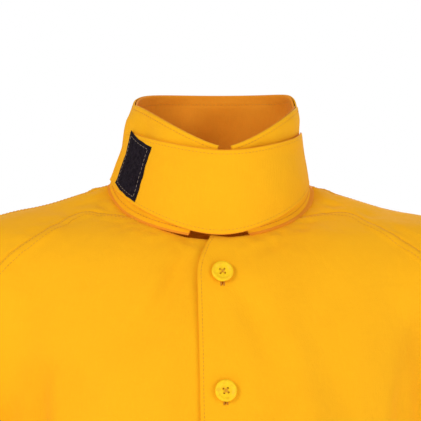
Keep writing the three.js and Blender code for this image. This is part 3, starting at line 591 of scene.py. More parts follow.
def stitches(
    name: str, lines: Sequence[tuple[Array, Array]], length: float = 2.9, gap: float = 0.8, radius: float = 0.27
) -> bpy.types.Object:
    """Rows of lockstitches lying on cloth, each one a short plump thread.

    Args:
        name: the piece's name.
        lines: (places, normals) pairs along the cloth's face, in mm.
        length: of one stitch.
        gap: between two of them.
        radius: of the thread.

    Returns:
        One object with every stitch.
    """
    shape = [(-0.5, 0.0, -0.7), (-0.38, 0.8, 0.1), (0.0, 1.0, 0.35), (0.38, 0.8, 0.1), (0.5, 0.0, -0.7)]
    verts, faces, base = [], [], 0
    for places, normals in lines:
        run = np.concatenate([[0], np.cumsum(np.linalg.norm(np.diff(places, axis=0), axis=1))])
        count = int(run[-1] // (length + gap))
        if count < 1:
            continue
        pitch = run[-1] / count
        mid = (np.arange(count) + 0.5) * pitch
        p = np.stack([np.interp(mid, run, places[:, k]) for k in range(3)], 1)
        n = unit(np.stack([np.interp(mid, run, normals[:, k]) for k in range(3)], 1))
        ahead = np.stack([np.interp(mid + 0.5, run, places[:, k]) for k in range(3)], 1)
        behind = np.stack([np.interp(mid - 0.5, run, places[:, k]) for k in range(3)], 1)
        t = unit(ahead - behind)
        s = unit(np.cross(t, n))
        rings = []
        for along, swell, lift in shape:
            c = p + t * (along * (pitch - gap)) + n * (lift * radius)
            for turn in (0, 1, 2, 3):
                a = math.pi / 2 * turn
                rings.append(c + (s * math.cos(a) + n * math.sin(a)) * (radius * max(swell, 0.12)))
        block = np.stack(rings, 1)
        verts.append(block.reshape(-1, 3))
        quads = [
            (4 * r + q, 4 * r + (q + 1) % 4, 4 * r + 4 + (q + 1) % 4, 4 * r + 4 + q) for r in range(4) for q in range(4)
        ]
        quads += [(3, 2, 1, 0), (16, 17, 18, 19)]
        f = np.array(quads)[None] + (np.arange(count) * 20)[:, None, None] + base
        faces.append(f.reshape(-1, 4))
        base += count * 20
    return raw_mesh(name, np.concatenate(verts) * MM, np.concatenate(faces))


def dress(
    obj: bpy.types.Object, material: bpy.types.Material, body: str | None,
    replaces: Sequence[str] = ()
) -> bpy.types.Object:
    """Gives a piece its finish, its body and the CAD nodes that it stands for.

    Args:
        obj: the piece.
        material: its finish.
        body: the CAD body that it rides on, or None to leave it on no body.
        replaces: the CAD nodes that it stands for.

    Returns:
        The piece.
    """
    obj.data.materials.clear()
    obj.data.materials.append(material)
    if body:
        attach(obj, body)
    if replaces:
        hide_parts(*replaces)
    log.info("%s: %d corners", obj.name, len(obj.data.vertices))
    return obj


# ---------------------------------------------------------------- finishes


class Graph:
    """A few short ways to wire shader nodes."""

    def __init__(self, tree: bpy.types.NodeTree) -> None:
        """Args: tree: the node tree to add to."""
        self.tree = tree

    def node(self, kind: str, values: dict[str, object] | None = None, **settings: object) -> bpy.types.Node:
        """Args: kind: the node's type; values: input values or sockets to link; settings: its properties.
        Returns: it.
        """
        made = self.tree.nodes.new(kind)
        for key, value in settings.items():
            setattr(made, key, value)
        for key, value in (values or {}).items():
            socket = made.inputs[int(key[1:])] if key.startswith("#") else made.inputs[key]
            if isinstance(value, bpy.types.NodeSocket):
                self.tree.links.new(value, socket)
            else:
                socket.default_value = value
        return made

    def math(self, operation: str, a: object, b: object = 0.0, c: object = 0.0) -> bpy.types.NodeSocket:
        """Args: operation: the sum; a, b, c: numbers or sockets. Returns: its result."""
        return self.node("ShaderNodeMath", {"#0": a, "#1": b, "#2": c}, operation=operation).outputs[0]

    def ramp(
        self, value: object, low: float, high: float, out_low: float = 0.0, out_high: float = 1.0
    ) -> bpy.types.NodeSocket:
        """Args: value: to spread; low, high: taken to out_low and out_high. Returns: the spread value."""
        values = {"Value": value, "From Min": low, "From Max": high, "To Min": out_low, "To Max": out_high}
        return self.node("ShaderNodeMapRange", values, interpolation_type="SMOOTHSTEP").outputs[0]


def group(
    name: str, inputs: Sequence[tuple[str, str, object]], outputs: Sequence[tuple[str, str]]
) -> tuple[bpy.types.NodeTree, bpy.types.Node, bpy.types.Node]:
    """Args: name; inputs: (name, socket type, value); outputs: (name, socket type). Returns: the tree and its
    two ends.
    """
    tree = bpy.data.node_groups.new(name, "ShaderNodeTree")
    for label, kind, value in inputs:
        socket = tree.interface.new_socket(name=label, in_out="INPUT", socket_type=kind)
        if value is not None:
            socket.default_value = value
    for label, kind in outputs:
        tree.interface.new_socket(name=label, in_out="OUTPUT", socket_type=kind)
    return tree, tree.nodes.new("NodeGroupInput"), tree.nodes.new("NodeGroupOutput")


FLOAT, COLOUR, VECTOR = "NodeSocketFloat", "NodeSocketColor", "NodeSocketVector"


def woven_group() -> bpy.types.NodeTree:
    """Returns: a plain weave with a ripstop grid and slubs: its height, its colour mask and its roughness."""
    tree, start, end = group(
        "woven_cloth",
        [
            ("Cloth", VECTOR, None), ("Thread Pitch", FLOAT, 0.00055), ("Ripstop Pitch", FLOAT, 0.0062),
            ("Slub", FLOAT, 1.0)
        ],
        [("Height", FLOAT), ("Tone", FLOAT), ("Roughness", FLOAT)],
    )
    g = Graph(tree)
    part = g.node("ShaderNodeSeparateXYZ", {"Vector": start.outputs["Cloth"]})
    x, y = part.outputs[0], part.outputs[1]
    pitch = start.outputs["Thread Pitch"]
    warp = g.math("SINE", g.math("MULTIPLY", g.math("DIVIDE", x, pitch), math.tau))
    weft = g.math("SINE", g.math("MULTIPLY", g.math("DIVIDE", y, pitch), math.tau))
    over = g.math("MULTIPLY", warp, weft)
    rip = start.outputs["Ripstop Pitch"]
    grid = []
    for axis in (x, y):
        wave = g.math("ABSOLUTE", g.math("SINE", g.math("MULTIPLY", g.math("DIVIDE", axis, rip), math.pi)))
        grid.append(g.ramp(wave, 0.0, 0.22, 1.0, 0.0))
    ripstop = g.math("MAXIMUM", grid[0], grid[1])
    slubs = []
    for stretch in ((900.0, 70.0, 1.0), (70.0, 900.0, 1.0)):
        scaled = g.node(
            "ShaderNodeVectorMath", {"#0": start.outputs["Cloth"], "#1": stretch}, operation="MULTIPLY"
        ).outputs[0]
        noise = g.node("ShaderNodeTexNoise", {"Vector": scaled, "Scale": 1.0, "Detail": 2.0})
        slubs.append(g.math("SUBTRACT", noise.outputs[0], 0.5))
    slub = g.math("MULTIPLY", g.math("ADD", slubs[0], g.math("MULTIPLY", slubs[1], 0.6)), start.outputs["Slub"])
    height = g.math(
        "ADD", g.math("MULTIPLY", over, 0.22),
        g.math("ADD", g.math("MULTIPLY", ripstop, 0.5), g.math("MULTIPLY", slub, 1.6))
    )
    tone = g.math(
        "ADD", g.math("MULTIPLY", slub, 0.5),
        g.math("MULTIPLY", g.math("ADD", over, g.math("MULTIPLY", ripstop, 0.6)), 0.12)
    )
    tree.links.new(height, end.inputs["Height"])
    tree.links.new(tone, end.inputs["Tone"])
    tree.links.new(g.ramp(slub, -0.5, 0.5, 0.74, 0.9), end.inputs["Roughness"])
    return tree


def handling_group() -> bpy.types.NodeTree:
    """Returns: soft creases and uneven dye, from places in space: a crease height and a colour mask."""
    tree, start, end = group(
        "handled_cloth",
        [("Place", VECTOR, None), ("Crease Size", FLOAT, 30.0), ("Dye Size", FLOAT, 9.0)],
        [("Crease", FLOAT), ("Dye", FLOAT)],
    )
    g = Graph(tree)
    crease = g.node(
        "ShaderNodeTexNoise",
        {
            "Vector": start.outputs["Place"], "Scale": start.outputs["Crease Size"], "Detail": 3.0,
            "Roughness": 0.45, "Distortion": 0.4
        }
    )
    dye = g.node(
        "ShaderNodeTexNoise",
        {"Vector": start.outputs["Place"], "Scale": start.outputs["Dye Size"], "Detail": 4.0}
    )
    tree.links.new(crease.outputs[0], end.inputs["Crease"])
    tree.links.new(dye.outputs[0], end.inputs["Dye"])
    return tree


def fuzz_group() -> bpy.types.NodeTree:
    """Returns: the matted loops of hook-and-loop tape: their height and a colour mask."""
    tree, start, end = group(
        "tape_pile", [("Place", VECTOR, None), ("Pile Size", FLOAT, 1300.0)],
        [("Height", FLOAT), ("Tone", FLOAT)]
    )
    g = Graph(tree)
    fine = g.node(
        "ShaderNodeTexNoise",
        {"Vector": start.outputs["Place"], "Scale": start.outputs["Pile Size"], "Detail": 3.0, "Roughness": 0.7}
    )
    cells = g.node(
        "ShaderNodeTexVoronoi",
        {"Vector": start.outputs["Place"], "Scale": g.math("MULTIPLY", start.outputs["Pile Size"], 0.6)}
    )
    mixed = g.math("ADD", fine.outputs[0], g.math("MULTIPLY", cells.outputs[0], -0.6))
    tree.links.new(mixed, end.inputs["Height"])
    broad = g.node("ShaderNodeTexNoise", {"Vector": start.outputs["Place"], "Scale": 160.0, "Detail": 3.0})
    tree.links.new(g.math("MULTIPLY", broad.outputs[0], g.ramp(fine.outputs[0], 0.3, 0.7)), end.inputs["Tone"])
    return tree


@dataclass(frozen=True)
class ClothFinish:
    """A woven cloth: its light and dark tones and how strongly its threads and creases show."""

    name: str
    base: tuple[float, float, float]
    deep: tuple[float, float, float]
    pale: tuple[float, float, float]
    weave_depth: float = 0.00012
    crease_depth: float = 0.0022
    sheen: float = 0.03

    def build(self, weave: bpy.types.NodeTree, handling: bpy.types.NodeTree) -> bpy.types.Material:
        """Args: weave, handling: the shared groups. Returns: the material."""
        m = bpy.data.materials.new(self.name)
        m.use_nodes = True
        g = Graph(m.node_tree)
        shader = m.node_tree.nodes["Principled BSDF"]
        uv = g.node("ShaderNodeUVMap", uv_map="cloth")
        place = g.node("ShaderNodeTexCoord")
        woven = g.node("ShaderNodeGroup", node_tree=weave)
        handled = g.node("ShaderNodeGroup", node_tree=handling)
        link = m.node_tree.links.new
        link(uv.outputs[0], woven.inputs["Cloth"])
        link(place.outputs["Object"], handled.inputs["Place"])
        mix1 = g.node(
            "ShaderNodeMix",
            {"#6": (*self.deep, 1), "#7": (*self.base, 1), "#0": g.ramp(handled.outputs["Dye"], 0.25, 0.55)},
            data_type="RGBA"
        )
        mix2 = g.node(
            "ShaderNodeMix",
            {"#6": mix1.outputs[2], "#7": (*self.pale, 1), "#0": g.ramp(woven.outputs["Tone"], -0.1, 0.5)},
            data_type="RGBA"
        )
        link(mix2.outputs[2], shader.inputs["Base Color"])
        link(woven.outputs["Roughness"], shader.inputs["Roughness"])
        shader.inputs["Sheen Weight"].default_value = self.sheen
        shader.inputs["Sheen Roughness"].default_value = 0.5
        shader.inputs["Specular IOR Level"].default_value = 0.12
        soft = g.node(
            "ShaderNodeBump",
            {"Height": handled.outputs["Crease"], "Distance": self.crease_depth, "Strength": 1.0}
        )
        fine = g.node(
            "ShaderNodeBump",
            {
                "Height": woven.outputs["Height"], "Distance": self.weave_depth, "Strength": 0.8,
                "Normal": soft.outputs[0]
            }
        )
        link(fine.outputs[0], shader.inputs["Normal"])
        return m


@dataclass(frozen=True)
class TapeFinish:
    """Hook-and-loop tape with a matted pile."""

    name: str = "black_pile_tape"
    base: tuple[float, float, float] = (0.008, 0.005, 0.009)
    lint: tuple[float, float, float] = (0.030, 0.022, 0.032)

    def build(self, pile: bpy.types.NodeTree) -> bpy.types.Material:
        """Args: pile: the shared group. Returns: the material."""
        m = bpy.data.materials.new(self.name)
        m.use_nodes = True
        g = Graph(m.node_tree)
        shader = m.node_tree.nodes["Principled BSDF"]
        place = g.node("ShaderNodeTexCoord")
        fuzz = g.node("ShaderNodeGroup", {"Place": place.outputs["Object"]}, node_tree=pile)
        mix = g.node(
            "ShaderNodeMix",
            {"#6": (*self.base, 1), "#7": (*self.lint, 1), "#0": g.ramp(fuzz.outputs["Tone"], 0.15, 0.6)},
            data_type="RGBA"
        )
        m.node_tree.links.new(mix.outputs[2], shader.inputs["Base Color"])
        shader.inputs["Roughness"].default_value = 0.95
        shader.inputs["Sheen Weight"].default_value = 0.03
        shader.inputs["Specular IOR Level"].default_value = 0.06
        bump = g.node("ShaderNodeBump", {"Height": fuzz.outputs["Height"], "Distance": 0.0006, "Strength": 1.0})
        m.node_tree.links.new(bump.outputs[0], shader.inputs["Normal"])
        return m


@dataclass(frozen=True)
class ThreadFinish:
    """Twisted sewing thread."""

    name: str
    base: tuple[float, float, float]
    deep: tuple[float, float, float]

    def build(self) -> bpy.types.Material:
        """Returns: the material."""
        m = bpy.data.materials.new(self.name)
        m.use_nodes = True
        g = Graph(m.node_tree)
        shader = m.node_tree.nodes["Principled BSDF"]
        place = g.node("ShaderNodeTexCoord")
        twist = g.node(
            "ShaderNodeTexWave", {"Vector": place.outputs["Object"], "Scale": 900.0, "Distortion": 2.0},
            bands_direction="DIAGONAL"
        )
        mix = g.node(
            "ShaderNodeMix", {"#6": (*self.deep, 1), "#7": (*self.base, 1), "#0": twist.outputs[1]},
            data_type="RGBA"
        )
        m.node_tree.links.new(mix.outputs[2], shader.inputs["Base Color"])
        shader.inputs["Roughness"].default_value = 0.6
        bump = g.node("ShaderNodeBump", {"Height": twist.outputs[1], "Distance": 0.0001})
        m.node_tree.links.new(bump.outputs[0], shader.inputs["Normal"])
        return m


@dataclass(frozen=True)
class ButtonFinish:
    """Cast polyester button: a little cloudy, with fine scuffs."""

    name: str = "yellow_button_plastic"
    base: tuple[float, float, float] = (0.99, 0.62, 0.006)
    cloud: tuple[float, float, float] = (0.92, 0.52, 0.005)

    def build(self) -> bpy.types.Material:
        """Returns: the material."""
        m = bpy.data.materials.new(self.name)
        m.use_nodes = True
        g = Graph(m.node_tree)
        shader = m.node_tree.nodes["Principled BSDF"]
        place = g.node("ShaderNodeTexCoord")
        cloudy = g.node("ShaderNodeTexNoise", {"Vector": place.outputs["Object"], "Scale": 260.0, "Detail": 3.0})
        scuff = g.node("ShaderNodeTexNoise", {"Vector": place.outputs["Object"], "Scale": 1500.0, "Detail": 2.0})
        mix = g.node(
            "ShaderNodeMix",
            {"#6": (*self.cloud, 1), "#7": (*self.base, 1), "#0": g.ramp(cloudy.outputs[0], 0.3, 0.6)},
            data_type="RGBA"
        )
        m.node_tree.links.new(mix.outputs[2], shader.inputs["Base Color"])
        m.node_tree.links.new(g.ramp(scuff.outputs[0], 0.3, 0.75, 0.38, 0.56), shader.inputs["Roughness"])
        shader.inputs["Specular IOR Level"].default_value = 0.25
        bump = g.node("ShaderNodeBump", {"Height": scuff.outputs[0], "Distance": 0.00005})
        m.node_tree.links.new(bump.outputs[0], shader.inputs["Normal"])
        return m


class Finishes:
    """Every material of the coat, built once."""

    def __init__(self) -> None:
        """Builds the shared groups and the materials."""
        weave, handling, pile = woven_group(), handling_group(), fuzz_group()
        self.shell = ClothFinish(
            "amber_shell_cloth", (0.985, 0.455, 0.006), (0.94, 0.415, 0.005), (0.99, 0.50, 0.010)
        ).build(weave, handling)
        self.lining = ClothFinish(
            "inner_cloth", (0.90, 0.31, 0.016), (0.82, 0.27, 0.014), (0.94, 0.36, 0.026)
        ).build(weave, handling)
        self.tape = TapeFinish().build(pile)
        self.thread = ThreadFinish("amber_thread", (0.86, 0.36, 0.012), (0.62, 0.24, 0.008)).build()
        self.box_thread = ThreadFinish("tan_thread", (0.30, 0.23, 0.17), (0.18, 0.13, 0.10)).build()
        self.button = ButtonFinish().build()
        self.button_thread = ThreadFinish("yellow_button_thread", (0.93, 0.45, 0.012), (0.78, 0.34, 0.008)).build()


# ---------------------------------------------------------------- how the cloth hangs


@dataclass(frozen=True)
class Fold:
    """A soft fold along a straight line: from and to are (x, z) seen from its face, in mm."""

    start: tuple[float, float]
    end: tuple[float, float]
    width: float
    depth: float
    back: bool = False


FOLDS = (
    Fold((-176, -150), (-182, -560), 13, -5.0),
    Fold((-152, -170), (-160, -470), 17, 3.0),
    Fold((-26, -66), (-96, -172), 11, -3.0),
    Fold((-60, -80), (-120, -250), 15, 2.0),
    Fold((14, -100), (52, -190), 13, -2.4),
    Fold((60, -120), (110, -330), 18, 2.0),
    Fold((176, -150), (170, -420), 14, -3.6),
    Fold((150, -240), (60, -420), 20, -3.0),
    Fold((-205, -300), (-120, -400), 16, 3.2),
    Fold((205, -300), (128, -392), 16, 3.2),
    Fold((-100, -420), (-130, -800), 24, 4.2),
    Fold((-46, -500), (-60, -800), 22, -4.2),
    Fold((64, -430), (40, -800), 24, 3.4),
    Fold((-200, -430), (-215, -800), 22, -4.6),
    Fold((204, -430), (222, -800), 22, -4.6),
    Fold((0, -40), (0, -800), 26, -3.0, True),
    Fold((-60, -180), (-92, -800), 24, 4.4, True),
    Fold((66, -170), (84, -800), 25, 4.2, True),
    Fold((-150, -230), (-140, -800), 22, -4.6, True),
    Fold((146, -240), (160, -800), 22, -4.8, True),
    Fold((-190, -160), (-110, -330), 18, 3.2, True),
    Fold((190, -160), (116, -350), 18, 3.0, True),
)


class Drape:
    """How far the cloth stands off the form at each place."""

    def __init__(self, form: WornForm, seams: Seams) -> None:
        """Args: form: the skin; seams: the sewn lines."""
        self.form, self.seams = form, seams
        self.broad, self.middle, self.fine = Ripple(3, 60), Ripple(8, 24), Ripple(21, 11)
        self.neck_line = seams.neck(np.linspace(0, 360, 241))
        self.raglans = np.concatenate([seams.raglan(np.linspace(0, 1, 140), front) for front in (True, False)])

    def near(self, p: Array, line: Array) -> Array:
        """Args: p: places; line: (n, 3) a fine line. Returns: how far each place is from it."""
        flat = p.reshape(-1, 3)
        best = np.full(len(flat), 1e9)
        for block in np.array_split(line, max(1, len(line) // 24)):
            best = np.minimum(best, np.linalg.norm(flat[:, None] - block[None], axis=2).min(axis=1))
        return best.reshape(p.shape[:-1])

    def on_body(self, p: Array) -> Array:
        """Args: p: places. Returns: 1 on the torso, 0 on the sleeves."""
        q = p * [1, 1, 1]
        q[..., 0] = np.abs(q[..., 0])
        t = (q - self.form.joint) @ self.form.along / self.form.sleeve_length
        away = np.linalg.norm((q - self.form.arm_axis(np.clip(t, 0, 1))), axis=-1)
        side = self.form.sleeve_half(np.clip(t, 0, 1))[0]
        return eased(away - side, 10, 55)

    def folds(self, p: Array) -> Array:
        """Args: p: places. Returns: the long folds' height there."""
        total = np.zeros(p.shape[:-1])
        x, z = p[..., 0], p[..., 2]
        for fold in FOLDS:
            a, b = np.array(fold.start, float), np.array(fold.end, float)
            d = b - a
            length = np.linalg.norm(d)
            d = d / length
            along = (x - a[0]) * d[0] + (z - a[1]) * d[1]
            bend = 5.0 * np.sin(along / 95 + fold.width)
            across = (x - a[0]) * -d[1] + (z - a[1]) * d[0] - bend
            fade = eased(along, -fold.width, length * 0.25) * (
                1 if fold.end[1] < -790 else 1 - eased(along, length * 0.6, length + fold.width)
            )
            width = fold.width * (0.8 + 0.5 * np.clip(along / length, 0, 1))
            side = eased(p[..., 1], 10, 60) if fold.back else eased(-p[..., 1], 10, 60)
            total = total + fold.depth * np.exp(-((across / width) ** 2)) * fade * side
        return total

    def sleeve(self, p: Array) -> Array:
        """Args: p: places. Returns: the height of the creases round the sleeves."""
        q = p * [1, 1, 1]
        mirror = np.sign(q[..., 0])
        q[..., 0] = np.abs(q[..., 0])
        f = self.form
        t = (q - f.joint) @ f.along / f.sleeve_length
        off = q - f.arm_axis(np.clip(t, 0, 1.05))
        angle = np.arctan2(off @ f.forward, off @ f.outward)
        elbow = np.exp(-(((t - 0.5) / 0.17) ** 2))
        inner = 0.5 + 0.5 * np.cos(angle - 2.2)
        rings = np.sin(t * 74 + 1.6 * np.sin(angle + mirror) + 2.0 * mirror) * elbow * (0.3 + 0.7 * inner) * 3.0
        spiral = np.sin(t * 15 + angle * 1.0 + 1.3 * mirror) * 2.4 * eased(t, 0.25, 0.5) * (1 - eased(t, 0.86, 0.97))
        stacked = np.sin(
            t * 96 + 1.2 * np.sin(2 * angle + mirror)
        ) * np.exp(-(((t - 0.86) / 0.07) ** 2)) * 2.2 * (0.4 + 0.6 * np.cos(angle * 0.5) ** 2)
        head = np.cos(angle * 2 + 3.0 * t * mirror + 0.7) * 2.0 * eased(t, 0.12, 0.35) * (1 - eased(t, 0.4, 0.6))
        return rings + spiral + stacked + head

    def height(self, p: Array) -> Array:
        """Args: p: (..., 3) places on the form. Returns: how far the cloth stands off it, in mm."""
        body = self.on_body(p)
        low = eased(-p[..., 2], 30, 240)
        z = p[..., 2]
        around = np.arctan2(p[..., 0] / 246, -p[..., 1] / 158)
        hang = eased(-z, 330, 800)
        waves = (np.sin(7 * around + 0.6) * 2.6 + np.sin(11 * around + 2.1 + 0.002 * z) * 1.8) * hang
        middle_band = 1 - np.exp(-((p[..., 0] / 30) ** 2)) * (p[..., 1] < 0)
        torso = self.folds(p) * 2.2 + waves * 1.7 * middle_band + self.broad(p, (1, 1, 2.2)) * 1.5 * low * middle_band
        small = self.middle(p, (1, 1, 1.7)) * (0.18 + 0.42 * low) * (0.35 + 0.65 * middle_band)
        arm = self.sleeve(p) + self.middle(p) * 0.7
        neck = self.near(p, self.neck_line)
        calm = eased(neck, 2, 40)
        total = (torso * body + arm * (1 - body)) * calm + small * eased(neck, 2, 26)
        pucker = self.fine(p, (0.7, 0.7, 0.7)) * 0.55 * np.exp(-(((neck - 15) / 13) ** 2))
        q = p * [1, 1, 1]
        q[..., 0] = np.abs(q[..., 0])
        seam = self.near(q, self.raglans)
        pulled = self.fine(p, (0.9, 0.9, 0.9)) * 0.5 * np.exp(-(((seam - 8) / 10) ** 2)) * calm
        return total + pucker + pulled


def felled(distance: Array, lapped: bool) -> Array:
    """Args: distance: from a seam, in mm; lapped: whether this side carries the allowance. Returns: its relief,
    in mm.
    """
    sunk = -0.75 * np.exp(-((distance / 1.7) ** 2))
    if not lapped:
        return sunk
    return sunk + 0.85 * eased(distance, 0.4, 2.4) * (1 - eased(distance, 10.2, 12.2)) - 0.3 * np.exp(
        -(((distance - 2.4) / 0.7) ** 2)
    ) - 0.3 * np.exp(-(((distance - 9) / 0.8) ** 2))


def shares(length: float, pitch: float, low: bool = True, high: bool = True) -> Array:
    """Args: length: of an edge, in mm; pitch: between places; low, high: whether that end is finer. Returns:
    shares, 0 to 1.
    """
    fine = np.array([0, 0.9, 1.9, 3, 4.4, 6.2, 8, 9.4, 10.8, 12.4, 15])
    start = fine if low else fine[:1]
    end = length - (fine if high else fine[:1])[::-1]
    count = max(2, int((end[0] - start[-1]) / pitch))
    inner = np.linspace(start[-1], end[0], count + 1)[1:-1]
    return np.concatenate([start, inner, end]) / length


def coons(left: Array, right: Array, foot: Array, head: Array, u: Array, v: Array) -> Array:
    """Args: left, right: (rows, 3) edges; foot, head: (columns, 3) edges; u, v: their shares. Returns: (rows,
    columns, 3).
    """
    u, v = u[None, :, None], v[:, None, None]
    ruled = left[:, None] * (1 - u) + right[:, None] * u + foot[None] * (1 - v) + head[None] * v
    corners = (left[0] * (1 - u) + right[0] * u) * (1 - v) + (left[-1] * (1 - u) + right[-1] * u) * v
    return ruled - corners


class Shell:
    """The coat's outer cloth: two fronts, the back and four sleeve halves."""

    pitch = 5.0

    def __init__(self, form: WornForm, seams: Seams, drape: Drape, finishes: Finishes) -> None:
        """Args: form, seams, drape: the coat's shape; finishes: its materials."""
        self.form, self.seams, self.drape, self.finishes = form, seams, drape, finishes
        self.size = form.size
        self.stitch_lines: list[tuple[Array, Array]] = []

    def body_edge(self, v: Array, front: bool) -> Array:
        """Args: v: 0 hem to 1 neck; front: which raglan. Returns: a body panel's outer edge."""
        return np.where(
            (v < 0.5)[:, None], self.seams.side(1 - np.clip(v, 0, 0.5) / 0.5),
            self.seams.raglan(1 - (np.clip(v, 0.5, 1) - 0.5) / 0.5, front)
        )

    def hem(self, angle: Array, side: float) -> Array:
        """Args: angle: degrees from the middle; side: -1 front, 1 back. Returns: places on the hem."""
        s, turn = self.size, np.radians(angle)
        square = lambda a: np.sign(a) * np.abs(a) ** (2 / s.even)
        deep = s.hem_front if side < 0 else s.hem_back
        return np.stack(
            [
                s.hem_half_width * square(np.sin(turn)), side * deep * square(np.cos(turn)),
                np.full_like(turn, -s.body_length)
            ],
            -1
        )

    def free_edge(self, z: Array) -> Array:
        """Args: z: heights. Returns: x of the left front's free edge, with its top corner rounded off."""
        top, foot = -self.size.neck_drop, -self.size.neck_drop - 36.0
        t = np.clip((z - foot) / (top - foot), 0, 1)
        return -self.size.overlap + 15.0 * t**1.8

    def front_grid(self) -> tuple[Array, Array]:
        """Returns: the left front on the form, (rows, columns, 3), and its flat columns' count."""
        s, f = self.size, self.form
        v = shares(820, self.pitch, True, True)
        v = np.unique(np.concatenate([v, [0.5]]))
        neck_angle = lambda x: np.degrees(np.arcsin(x / s.neck_half_width))
        columns = np.array([0, 0.02, 0.045, 0.08, 0.13, 0.2, 0.27, 0.34, 0.42, 0.5, 0.6, 0.7, 0.8, 0.9])
        strip = []
        for c in columns:
            z_top = self.seams.neck(np.array(neck_angle(-s.overlap + 2 * s.overlap * c)))[2]
            z = -s.body_length + (z_top + s.body_length) * v
            left = self.free_edge(z)
            strip.append(np.stack([left + (s.overlap - left) * c, z], -1))
        xz = np.stack(strip, 1)
        flat = f.facing(xz[..., 0], xz[..., 1])
        u = shares(215, self.pitch, False, True)
        z_top = self.seams.neck(np.array(neck_angle(s.overlap)))[2]
        left = f.facing(np.full_like(v, s.overlap), -s.body_length + (z_top + s.body_length) * v)
        start = math.degrees(math.asin((s.overlap / s.hem_half_width) ** (s.even / 2)))
        foot = self.hem(start + (90 - start) * u, -1)
        a0 = float(neck_angle(s.overlap))
        head = self.seams.neck(a0 + (s.raglan_front_angle - a0) * u)
        rest = coons(left, self.body_edge(v, True), foot, head, u, v)
        places = np.concatenate([flat, f.onto(rest, rounds=12)], axis=1)
        return places, len(columns)

    def pressed(self, p: Array, side: Side) -> Array:
        """Args: p: places; side: which front. Returns: how far the front stands off, where one lies on the other."""
        s = self.size
        if side is Side.RIGHT:
            return -2 * s.layer * (1 - eased(-p[..., 0], s.overlap + 5, s.overlap + 40))
        edge = p[..., 0] - self.free_edge(p[..., 2])
        lifted = 2.6 * np.exp(-((edge / 15) ** 2)) * (0.25 + np.exp(-(((p[..., 2] + 88) / 40) ** 2)))
        rolled = -1.1 * np.exp(-((edge / 1.6) ** 2))
        return lifted + rolled + 0.45 * (1 - eased(edge, 30, 32)) * eased(edge, 0, 2)

    def hang(self, p: Array, extra: Array | float = 0.0) -> tuple[Array, Array]:
        """Args: p: places on the form; extra: height to add. Returns: where the cloth lies, and the way out."""
        out = self.form.normal(p)
        return p + out * (self.drape.height(p) + extra)[..., None], out

    def hem_relief(self, z: Array) -> Array:
        """Args: z: heights. Returns: the relief of the turned and stitched hem."""
        up = z + self.size.body_length
        return 0.7 * (1 - eased(up, 24, 26)) - 0.35 * np.exp(-(((up - 23) / 1.0) ** 2))

    def seam_distance(self, p: Array) -> Array:
        """Args: p: places. Returns: the distance to the nearest raglan, side or neck seam of that side."""
        q = p * [1, 1, 1]
        q[..., 0] = np.abs(q[..., 0])
        lines = np.concatenate([self.drape.raglans, self.seams.side(np.linspace(0, 1, 130))])
        return self.drape.near(q, lines)

    def row_stitches(self, base: Array, out: Array, way: Array, inset: float) -> None:
        """Args: base, out: a line on the cloth and its normals; way: into the panel; inset: from the line. Adds
        a row of stitches.
        """
        self.stitch_lines.append((base + way * inset, out))

    def edge_rows(
        self, places: Array, out: Array, column: int, inward: int, insets: Sequence[float],
        rows: slice = slice(None)
    ) -> None:
        """Adds stitch rows beside one edge column of a panel.

        Args:
            places, out: the panel's face and normals.
            column: the edge column.
            inward: 1 or -1, the next column into the panel.
            insets: how far in each row lies, in mm.
            rows: which rows of the panel.
        """
        for inset in insets:
            line, normal = [], []
            for j in range(*rows.indices(places.shape[0])):
                run = places[j, column::inward] if inward > 0 else places[j, column::-1]
                n = out[j, column::inward] if inward > 0 else out[j, column::-1]
                far = np.concatenate([[0], np.cumsum(np.linalg.norm(np.diff(run[:30], axis=0), axis=1))])
                line.append([np.interp(inset, far, run[:30, k]) for k in range(3)])
                normal.append([np.interp(inset, far, n[:30, k]) for k in range(3)])
            self.stitch_lines.append((np.array(line), unit(np.array(normal))))

    def front(self, side: Side) -> bpy.types.Object:
        """Args: side: which front. Returns: the panel."""
        places, flat = self.front_grid()
        if side is Side.RIGHT:
            places = (places * [-1, 1, 1])[:, ::-1]
        seam = self.seam_distance(places)
        neck = self.drape.near(places, self.drape.neck_line)
        extra = self.pressed(places, side) + felled(seam, True) + self.hem_relief(places[..., 2]) - 0.6 * np.exp(-((neck / 2.2) ** 2))
        face, out = self.hang(places, extra)
        seam_column, way = (-1, -1) if side is Side.LEFT else (0, 1)
        normal = true_normals(face, out)
        self.edge_rows(face, normal, seam_column, way, (2.4, 9.0))
        edge_column, inward = (0, 1) if side is Side.LEFT else (-1, -1)
        if side is Side.LEFT:
            self.edge_rows(face, normal, edge_column, inward, (4.0,), slice(2, -2))
        self.hem_stitches(face, normal)
        grid = Grid.of(face, out)
        obj = sheet_mesh(f"{side.word}_front", grid, self.size.cloth)
        if side is Side.LEFT:
            open_buttonholes(obj, self)
        dress(obj, self.finishes.shell, "coat", [f"{side.word}_front_panel"])
        Grid.of(places, out)
        facing_columns = slice(0, flat + 8) if side is Side.LEFT else slice(-(flat + 8), None)
        inner = Grid.of((face - normal * (self.size.layer + 0.1))[:, facing_columns], out[:, facing_columns])
        lining = sheet_mesh(f"{side.word}_facing", inner, self.size.cloth)
        dress(lining, self.finishes.lining, "coat", [f"{side.word}_front_facing"])
        cut = Grid.of(places[:, facing_columns], out[:, facing_columns])
        return obj

    def hem_stitches(self, face: Array, out: Array) -> None:
        """Args: face, out: a panel whose first row is its hem. Adds the hem's row of stitches."""
        up = np.array([np.interp(23.0, face[:20, i, 2] - face[0, i, 2], np.arange(20)) for i in range(face.shape[1])])
        j = np.clip(np.floor(up).astype(int), 0, 18)
        t = (up - j)[:, None]
        i = np.arange(face.shape[1])
        self.stitch_lines.append(
            (face[j, i] * (1 - t) + face[j + 1, i] * t, unit(out[j, i] * (1 - t) + out[j + 1, i] * t))
        )

